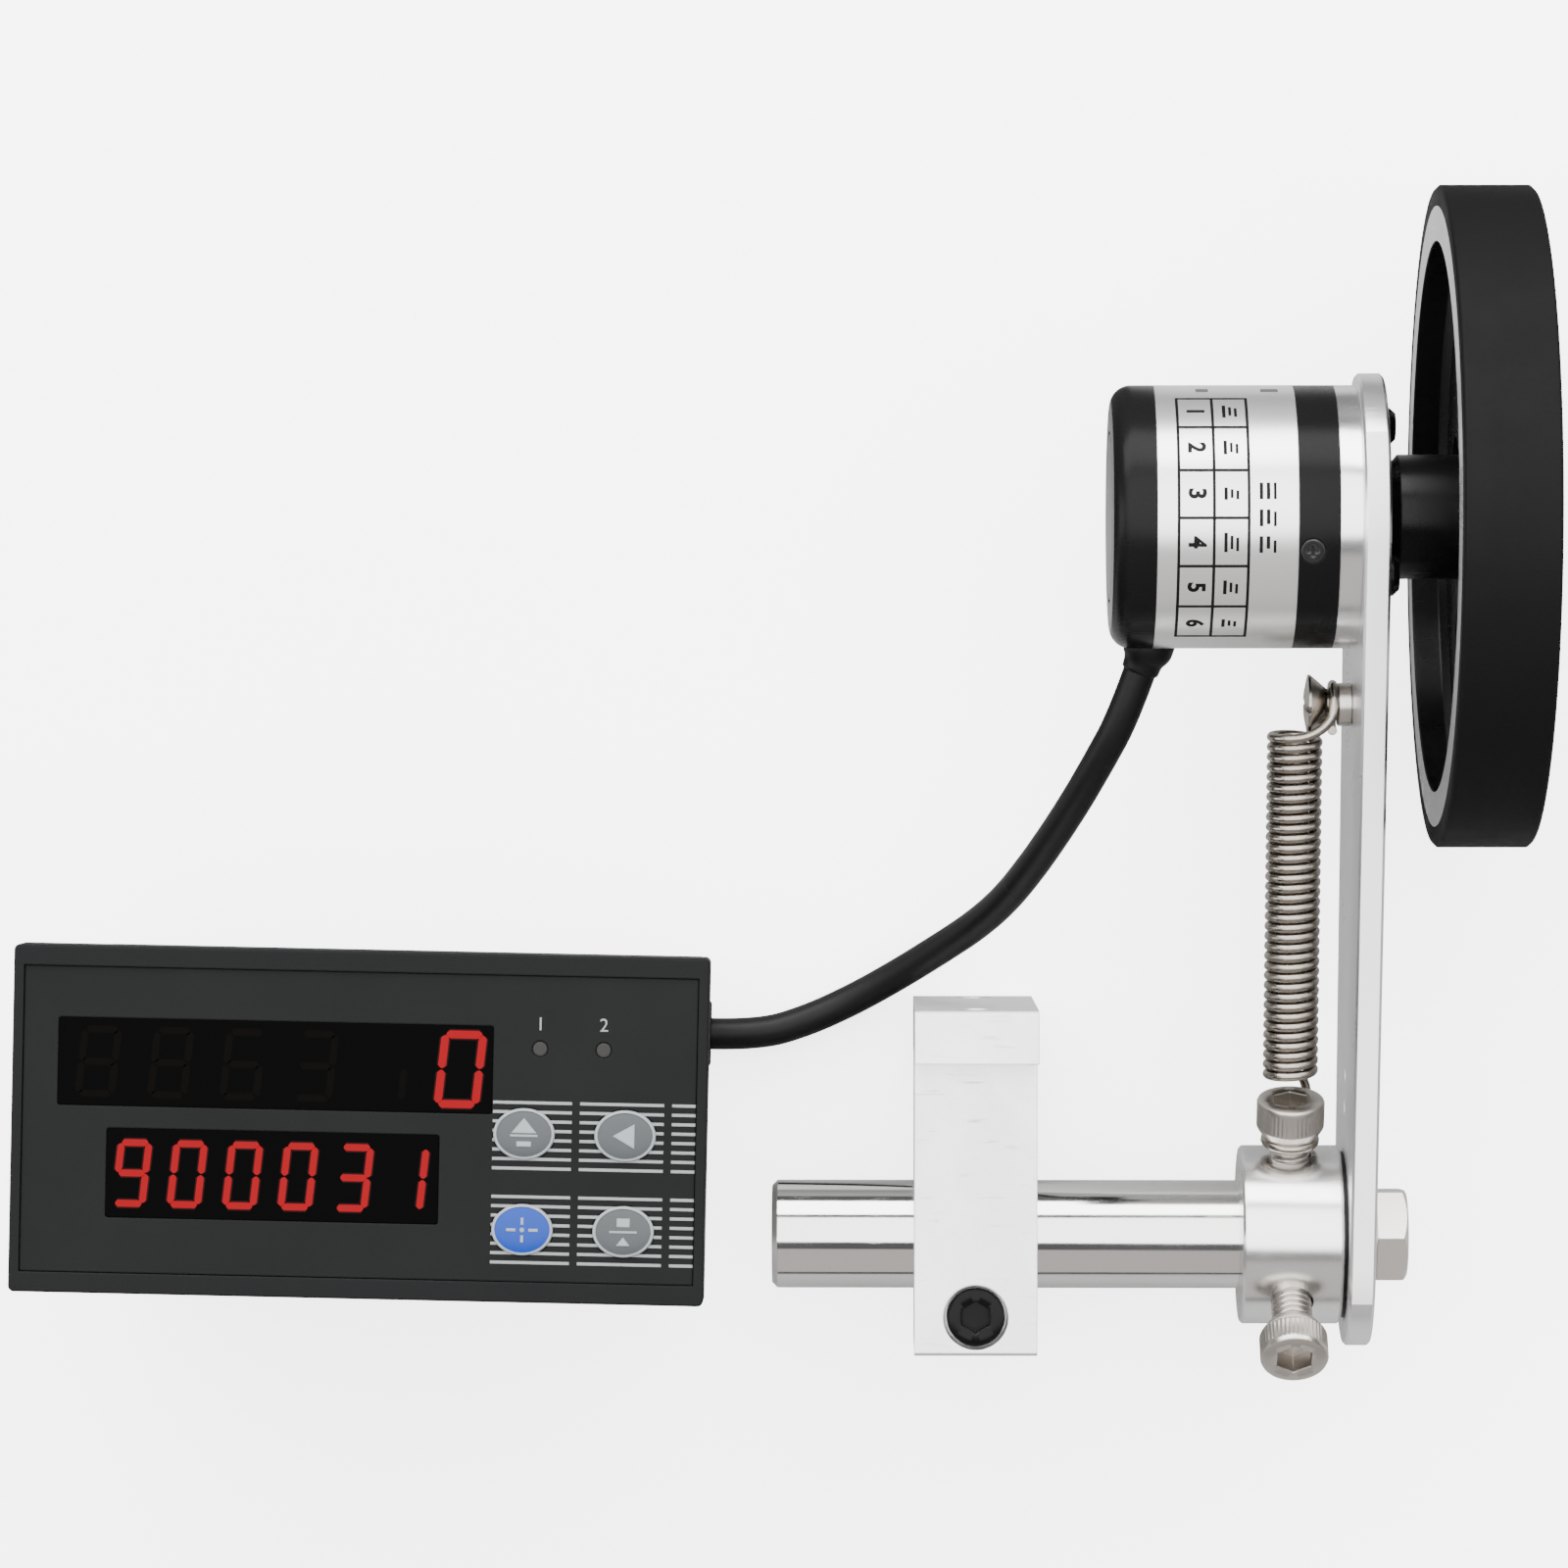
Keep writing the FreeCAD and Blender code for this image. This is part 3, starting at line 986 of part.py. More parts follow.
# Signal cable: its route was chosen by hand, from the plug behind the meter to the encoder.
# It lies on the bench, passes the clamp block's corner and climbs to the strain relief. The
# upper points keep their share of the way along the arm when the arm's length changes.
ROUTE_ARM_LENGTH = 108.0
CABLE_FROM_PLUG = [
    (-25.2, -3.7, -22.4),
    (-18.0, -0.4, -22.1),
    (-11.0, 3.6, -20.1),
    (-4.8, 7.6, -16.7),
    (0.4, 11.2, -12.3),
    (4.6, 15.1, -7.3),
]
CABLE_TO_ENCODER = [
    (8.2, 19.8, -1.8),
    (11.5, 24.8, 3.8),
    (14.8, 30.2, 8.9),
    (18.1, 36.2, 13.3),
]


def cable_ends():
    """The plug's face centre and the strain relief's tip, with the way out of each."""
    back = -METER_DEPTH + PLUG_OVER_BENCH + CABLE_D / 2
    turn = Placement(Vector(METER_X, METER_Y, METER_FACE_Z), Rotation(AXIS_Z, METER_TURN))
    start = turn.multVec(Vector(TERMINAL_WIDTH / 2 + PLUG_LENGTH, PLUG_Y, back))
    out = turn.Rotation.multVec(AXIS_X)
    lean = Placement(Vector(0, ROD_Y, 0), Rotation(AXIS_X, ARM_LEAN))
    down = Rotation(AXIS_Z, -GLAND_TILT).multVec(Vector(0, -1, 0))
    tip = Vector(ARM_LEFT_X - GLAND_FROM_ARM, ARM_LENGTH - ENCODER_R, 0) + down * GLAND_LENGTH
    return start, out, lean.multVec(tip), lean.Rotation.multVec(down)


def tube(points, name):
    """A round tube along straight runs joined by arcs as large as the runs allow."""
    edges = []
    here = points[0]
    radii = []
    for before, corner, after in zip(points, points[1:], points[2:]):
        way_in = (corner - before)
        way_out = (after - corner)
        half_turn = way_in.getAngle(way_out) / 2
        radius = BEND_SHARE * min(way_in.Length, way_out.Length) / math.tan(half_turn)
        reach = radius * math.tan(half_turn)
        way_in.normalize()
        way_out.normalize()
        begin = corner - way_in * reach
        end = corner + way_out * reach
        edges.append(Part.LineSegment(here, begin).toShape())
        edges.append(arc_from(begin, way_in, end))
        radii.append(round(radius, 1))
        here = end
    edges.append(Part.LineSegment(here, points[-1]).toShape())
    path = Part.Wire(edges)
    first = (points[1] - points[0])
    first.normalize()
    section = Part.Wire([Part.Circle(points[0], first, CABLE_D / 2).toShape()])
    solid = path.makePipeShell([section], True, False)
    expected = math.pi * CABLE_D ** 2 / 4 * path.Length
    runs = [round((b - a).Length, 1) for a, b in zip(points, points[1:])]
    print(name, "length", round(path.Length, 1), "runs", runs, "radii", radii,
          "volume against section times length", round(solid.Volume / expected, 4))
    return solid


def make_cable():
    start, start_way, tip, tip_way = cable_ends()
    lower = [Vector(*p) for p in CABLE_FROM_PLUG]
    share = ARM_LENGTH / ROUTE_ARM_LENGTH
    upper = [Vector(x, ROD_Y + (y - ROD_Y) * share, z) for x, y, z in CABLE_TO_ENCODER]
    first_run = (start - lower[0]).Length * END_RUN_SHARE
    last_run = (tip - upper[-1]).Length * END_RUN_SHARE
    lower = [start, start + start_way * first_run] + lower
    seam = (lower[-1] + upper[0]) * 0.5
    upper.append(tip + tip_way * last_run)
    keep("signal_cable_lower", tube(lower + [seam], "cable from plug to seam"))
    keep("signal_cable_upper", tube([seam] + upper + [tip], "cable from seam to encoder"))


make_clamp()
make_rod()
make_collar()
make_pivot()
make_arm()
make_post()
make_encoder_screws()
make_spring()
make_wheel(make_encoder())
make_keys(*make_meter_front())
make_meter_rear(-PANEL_INSET - PANEL_THICK - SEAT_GAP - DISPLAY_THICK)
make_cable()

for node, shape in NODES.items():
    if not shape.isValid():
        print("not valid:", node)
    shape.exportStep("parts/" + node + ".step")
print(len(NODES), "pieces, arm lean", round(ARM_LEAN, 3), "degrees")
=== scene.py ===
# Looks for the cable length counter: a measuring wheel on a sprung arm, its encoder, a rod
# clamp and a panel meter, lying on a pale bench and seen from above. Sizes are in
# millimetres and are turned to metres where a mesh is made.

import json
import math
import bmesh
import bpy
from mathutils import Euler, Matrix, Vector


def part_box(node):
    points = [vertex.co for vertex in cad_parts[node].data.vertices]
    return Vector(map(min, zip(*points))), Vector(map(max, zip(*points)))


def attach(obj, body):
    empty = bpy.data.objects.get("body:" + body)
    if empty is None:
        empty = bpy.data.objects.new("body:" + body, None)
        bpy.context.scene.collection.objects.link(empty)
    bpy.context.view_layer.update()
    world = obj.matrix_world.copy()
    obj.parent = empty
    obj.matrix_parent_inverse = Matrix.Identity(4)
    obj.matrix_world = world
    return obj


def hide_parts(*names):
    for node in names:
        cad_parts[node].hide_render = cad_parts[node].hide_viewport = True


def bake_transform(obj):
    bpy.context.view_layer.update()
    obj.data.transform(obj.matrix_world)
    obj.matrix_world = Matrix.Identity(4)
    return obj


MM = 0.001
TAU = 2 * math.pi

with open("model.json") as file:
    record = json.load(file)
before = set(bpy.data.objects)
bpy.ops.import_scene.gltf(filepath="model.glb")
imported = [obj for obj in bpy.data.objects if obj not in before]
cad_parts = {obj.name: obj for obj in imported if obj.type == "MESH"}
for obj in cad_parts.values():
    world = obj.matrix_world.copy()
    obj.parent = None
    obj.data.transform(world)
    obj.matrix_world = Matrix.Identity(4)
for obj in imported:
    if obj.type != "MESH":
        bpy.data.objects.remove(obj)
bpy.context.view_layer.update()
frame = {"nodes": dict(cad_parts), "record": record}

# Sizes shared with the part's source
BENCH_Z = -25.0
ROD_Y = -34.2
ARM_LENGTH = 108.0
ARM_LEFT_X = 54.5
WHEEL_R = 47.75
ARM_LEAN = math.asin((WHEEL_R + BENCH_Z) / ARM_LENGTH)
SCREW_X = 46.35
UPPER_SEAT_R = 16.05
LOWER_SEAT_R = 18.05
UPPER_SCREW_ANGLE = 69.0
LOWER_SCREW_ANGLE = -45.0
POST_ALONG = 80.3
LOOP_FROM_ARM = 2.75
WIRE_R = 0.5
SHOWN_WIRE_R = 0.7
COIL_MEAN_R = 3.4
COIL_PITCH = 1.45
COIL_ENDS = 4.7
COIL_FOOT_AHEAD = 9.4
COIL_FOOT_LIFT = 0.9
HOOK_MEAN_R = 3.65
LOOP_MEAN_R = 3.35
HOOK_UNDER_HEAD = 0.6
HOOK_RISE = 6.0
POST_NECK_R = 2.3
LOOP_GAP = 0.1
ENCODER_R = 19.0
GLAND_FROM_ARM = 29.5
GLAND_TILT = math.radians(19.0)
GLAND_LENGTH = 4.0
CABLE_R = 2.4
PLUG_FACE = (46.0, 9.1, -89.7)      # from the middle of the meter's front
RIM_FROM_R = 39.9
PANEL_Z = -0.4          # front panel below the bezel's front
PRINT_THICK = 0.03

ON_ARM = Matrix.Translation((0, ROD_Y, 0)) @ Matrix.Rotation(ARM_LEAN, 4, "X")
ON_ENCODER = ON_ARM @ Matrix.Translation((ARM_LEFT_X, ARM_LENGTH, 0))
ON_METER = Matrix.Translation((-85.9, -13.8, 67.3)) @ Matrix.Rotation(math.radians(-1.2), 4, "Z")


# Camera, light and bench

SENSOR = 36.0
FOCAL_PX = 6416         # the camera's focal length in pixels of the photograph
PHOTO_PX = 1600


def into_scene(name, data):
    """A new object with this data, in the scene."""
    item = bpy.data.objects.new(name, data)
    bpy.context.scene.collection.objects.link(item)
    return item


def set_camera():
    lens = bpy.data.cameras.new("photo_camera")
    lens.sensor_width = SENSOR
    lens.lens = SENSOR * FOCAL_PX / PHOTO_PX
    lens.clip_start = 0.05
    lens.clip_end = 20.0
    place = Vector((-13.66, 42.66, 932.5)) * MM
    aim = Vector((-28.27, 32.53, 0.0)) * MM
    back = (place - aim).normalized()
    right = Vector((0, 1, 0)).cross(back).normalized()
    turn = Matrix((right, back.cross(right), back)).transposed()
    eye = into_scene("photo_camera", lens)
    eye.matrix_world = Matrix.Translation(place) @ turn.to_4x4()
    bpy.context.scene.camera = eye


def add_softbox(name, place, size, power, colour=(1.0, 1.0, 1.0)):
    """A rectangular lamp that faces the origin, in millimetres and watts."""
    lamp = bpy.data.lights.new(name, "AREA")
    lamp.shape = "RECTANGLE"
    lamp.size = size[0] * MM
    lamp.size_y = size[1] * MM
    lamp.energy = power
    lamp.color = colour
    start = Vector(place) * MM
    turn = (-start).to_track_quat("-Z", "Y").to_matrix()
    into_scene(name, lamp).matrix_world = Matrix.Translation(start) @ turn.to_4x4()


def set_light():
    add_softbox("main_softbox", (0, 248, 1276), (2600, 1325), 63.0)
    add_softbox("back_softbox", (0, 1142, 620), (2600, 770), 65.0)
    add_softbox("front_softbox", (0, -1108, 679), (2200, 1350), 6.0, (1.0, 0.93, 0.9))
    add_softbox("left_softbox", (-1500, 60, 500), (600, 1200), 12.0)
    world = bpy.data.worlds.new("studio")
    world.use_nodes = True
    feed(world.node_tree.nodes["Background"], {"Color": (0.93, 0.94, 0.96, 1.0), "Strength": 0.16})
    bpy.context.scene.world = world


def make_bench():
    """The camera sees the bench evenly pale. What metal mirrors of it is a painted shade that darkens
    away from the front.
    """
    mesh = bpy.data.meshes.new("bench")
    edge = 3.0
    z = BENCH_Z * MM - 0.00002
    corners = [(-edge, -edge, z), (edge, -edge, z), (edge, edge, z), (-edge, edge, z)]
    mesh.from_pydata(corners, [], [(0, 1, 2, 3)])
    bench = into_scene("bench", mesh)
    white, tree, shader = new_material("bench_white")
    seen = add(tree, "ShaderNodeLightPath").outputs["Is Camera Ray"]
    place = add(tree, "ShaderNodeTexCoord").outputs["Object"]
    ways = add(tree, "ShaderNodeSeparateXYZ", {"Vector": place}).outputs
    shift = remap(tree, ways["X"], (0.0, 0.03), (0.0, 0.1))
    along = add(tree, "ShaderNodeMath", {0: ways["Y"], 1: shift}, operation="SUBTRACT").outputs[0]
    # Painted shade: the bench as reflections see it, darker away from the front.
    painted_reflection_shade = remap(tree, along, (0.03, 0.055), (0.32, 0.01))
    tone = add(tree, "ShaderNodeMix", {"Factor": seen, "A": painted_reflection_shade, "B": (0.94, 0.94, 0.94, 1.0)},
               data_type="RGBA")
    lift = add(tree, "ShaderNodeMath", {0: seen, 1: 3.2}, operation="MULTIPLY")
    feed(shader, {"Base Color": tone.outputs[2], "Emission Strength": lift.outputs[0],
                  "Emission Color": (1.0, 1.0, 1.0, 1.0), "Roughness": 0.7})
    mesh.materials.append(white)


# Shader node groups shared by the finishes

def feed(node, inputs):
    """Sets a node's inputs, by socket name or number, to a value or a link."""
    for key, value in inputs.items():
        if isinstance(value, bpy.types.NodeSocket):
            node.id_data.links.new(value, node.inputs[key])
        else:
            node.inputs[key].default_value = value


def add(tree, kind, inputs=None, **settings):
    """Adds a node, sets its properties and feeds its inputs."""
    node = tree.nodes.new(kind)
    for key, value in settings.items():
        setattr(node, key, value)
    feed(node, inputs or {})
    return node


def remap(tree, value, old, new):
    """A value moved from one range to another and kept inside it."""
    return add(tree, "ShaderNodeMapRange", {"Value": value, "From Min": old[0], "From Max": old[1],
                                            "To Min": new[0], "To Max": new[1]}).outputs["Result"]


def new_group(name, kind, inputs, outputs):
    """An empty node group with its named sockets."""
    tree = bpy.data.node_groups.new(name, kind)
    for label, form, value in inputs:
        socket = tree.interface.new_socket(label, in_out="INPUT", socket_type="NodeSocket" + form)
        if value is not None:
            socket.default_value = value
    for label, form in outputs:
        tree.interface.new_socket(label, in_out="OUTPUT", socket_type="NodeSocket" + form)
    return tree, tree.nodes.new("NodeGroupInput").outputs, tree.nodes.new("NodeGroupOutput").inputs


def make_grain_effect():
    """Fine noise, stretched along brushing or moulding lines, with coarser cloud in it."""
    tree, given, result = new_group(
        "fine grain", "ShaderNodeTree",
        [("Scale", "Float", 2000.0), ("Stretch", "Vector", (1.0, 1.0, 1.0)), ("Cloud", "Float", 0.3)],
        [("Grain", "Float")])
    place = add(tree, "ShaderNodeTexCoord").outputs["Object"]
    spread = add(tree, "ShaderNodeMapping", {"Vector": place, "Scale": given["Stretch"]})
    fine = add(tree, "ShaderNodeTexNoise", {"Vector": spread.outputs["Vector"], "Scale": given["Scale"],
                                            "Detail": 3.0, "Roughness": 0.6})
    cloud = add(tree, "ShaderNodeTexNoise", {"Vector": place, "Scale": 90.0, "Detail": 4.0,
                                             "Roughness": 0.55})
    both = add(tree, "ShaderNodeMix", {"Factor": given["Cloud"], "A": fine.outputs["Fac"],
                                       "B": cloud.outputs["Fac"]})
    tree.links.new(both.outputs["Result"], result["Grain"])
    return tree


def make_edge_effect():
    """Where an edge or a ridge is, broken up by noise, as handling wears it; its lighter colour is also a
    painted edge highlight.
    """
    tree, given, result = new_group(
        "edge wear and highlight", "ShaderNodeTree",
        [("Width", "Float", 0.0003), ("Amount", "Float", 1.0), ("Break Up", "Float", 0.5)],
        [("Edge", "Float"), ("Soft Normal", "Vector")])
    soft = add(tree, "ShaderNodeBevel", {"Radius": given["Width"]}, samples=4).outputs["Normal"]
    true = add(tree, "ShaderNodeNewGeometry").outputs["Normal"]
    same = add(tree, "ShaderNodeVectorMath", {0: soft, 1: true}, operation="DOT_PRODUCT")
    ridge = remap(tree, same.outputs["Value"], (0.985, 0.8), (0.0, 1.0))
    place = add(tree, "ShaderNodeTexCoord").outputs["Object"]
    noise = add(tree, "ShaderNodeTexNoise", {"Vector": place, "Scale": 700.0, "Detail": 4.0})
    breaks = remap(tree, noise.outputs["Fac"], (0.35, 0.65), (0.0, 1.0))
    kept = add(tree, "ShaderNodeMix", {"Factor": given["Break Up"], "A": 1.0, "B": breaks})
    worn_and_highlit = add(tree, "ShaderNodeMath", {0: ridge, 1: kept.outputs["Result"]}, operation="MULTIPLY")
    scaled = add(tree, "ShaderNodeMath", {0: worn_and_highlit.outputs["Value"], 1: given["Amount"]},
                 operation="MULTIPLY", use_clamp=True)
    tree.links.new(scaled.outputs["Value"], result["Edge"])
    tree.links.new(soft, result["Soft Normal"])
    return tree


def make_handling_effect():
    """Uneven polish: wiped patches and a few fine scratches, as a roughness."""
    tree, given, result = new_group(
        "handling", "ShaderNodeTree",
        [("Smooth", "Float", 0.3), ("Dull", "Float", 0.5), ("Scratches", "Float", 0.2)],
        [("Roughness", "Float")])
    place = add(tree, "ShaderNodeTexCoord").outputs["Object"]
    patch = add(tree, "ShaderNodeTexNoise", {"Vector": place, "Scale": 45.0, "Detail": 5.0,
                                             "Roughness": 0.6, "Distortion": 0.4})
    spread = remap(tree, patch.outputs["Fac"], (0.32, 0.68), (given["Smooth"], given["Dull"]))
    turned = add(tree, "ShaderNodeMapping", {"Vector": place, "Rotation": (0.3, 0.5, 0.7),
                                             "Scale": (1.0, 14.0, 5.0)})
    lines = add(tree, "ShaderNodeTexNoise", {"Vector": turned.outputs["Vector"], "Scale": 160.0,
                                             "Detail": 2.0, "Distortion": 0.6})
    thin = remap(tree, lines.outputs["Fac"], (0.66, 0.7), (0.0, given["Scratches"]))
    total = add(tree, "ShaderNodeMath", {0: spread, 1: thin}, operation="ADD", use_clamp=True)
    tree.links.new(total.outputs["Value"], result["Roughness"])
    return tree


GRAIN = make_grain_effect()
EDGES = make_edge_effect()
HANDLING = make_handling_effect()


def new_material(name):
    """A material with its node tree and its main shader."""
    made = bpy.data.materials.new(name)
    made.use_nodes = True
    return made, made.node_tree, made.node_tree.nodes["Principled BSDF"]


def make_finish(name, colour, second=None, metallic=0.0, polish=(0.3, 0.45), scratches=0.05,
                grain=(1800.0, (1, 1, 1), 0.3), depth=0.00001, worn_and_highlit=(0.00025, 0.0), worn_and_highlit_colour=None,
                specular=0.5):
    """A finish on the shared effects: colour varied by the grain, uneven polish, worn edges with a
    painted edge highlight.
    """
    made, tree, shader = new_material(name)
    second = second or tuple(0.82 * c for c in colour)
    worn_and_highlit_colour = worn_and_highlit_colour or tuple(min(1.0, 1.5 * c + 0.02) for c in colour)
    fine = add(tree, "ShaderNodeGroup", node_tree=GRAIN)
    feed(fine, {"Scale": grain[0], "Stretch": grain[1], "Cloud": grain[2]})
    edge = add(tree, "ShaderNodeGroup", node_tree=EDGES)
    feed(edge, {"Width": worn_and_highlit[0], "Amount": worn_and_highlit[1]})
    handled = add(tree, "ShaderNodeGroup", node_tree=HANDLING)
    feed(handled, {"Smooth": polish[0], "Dull": polish[1], "Scratches": scratches})
    varied = add(tree, "ShaderNodeMix", {"Factor": fine.outputs["Grain"], "A": (*colour, 1.0),
                                         "B": (*second, 1.0)}, data_type="RGBA")
    # Edges get a lighter colour: wear, and a painted edge highlight.
    rubbed_and_highlit = add(tree, "ShaderNodeMix", {"Factor": edge.outputs["Edge"], "A": varied.outputs[2],
                                         "B": (*worn_and_highlit_colour, 1.0)}, data_type="RGBA")
    bump = add(tree, "ShaderNodeBump", {"Height": fine.outputs["Grain"], "Distance": depth,
                                        "Strength": 1.0, "Normal": edge.outputs["Soft Normal"]})
    feed(shader, {"Metallic": metallic, "Specular IOR Level": specular, "Base Color": rubbed_and_highlit.outputs[2],
                  "Roughness": handled.outputs["Roughness"], "Normal": bump.outputs["Normal"]})
    return made


def make_glow(name, colour, strength, base):
    """A lit segment, a little uneven along its length."""
    made, tree, shader = new_material(name)
    place = add(tree, "ShaderNodeTexCoord").outputs["Object"]
    uneven = add(tree, "ShaderNodeTexNoise", {"Vector": place, "Scale": 420.0, "Detail": 1.0})
    other = (min(1.0, colour[0] * 1.05), colour[1] * 3.0, colour[2] * 2.2)
    mixed = add(tree, "ShaderNodeMix", {"Factor": uneven.outputs["Fac"], "A": (*colour, 1.0),
                                        "B": (*other, 1.0)}, data_type="RGBA")
    feed(shader, {"Base Color": (*base, 1.0), "Specular IOR Level": 0.05, "Roughness": 0.35,
                  "Emission Strength": strength, "Emission Color": mixed.outputs[2]})
    return made


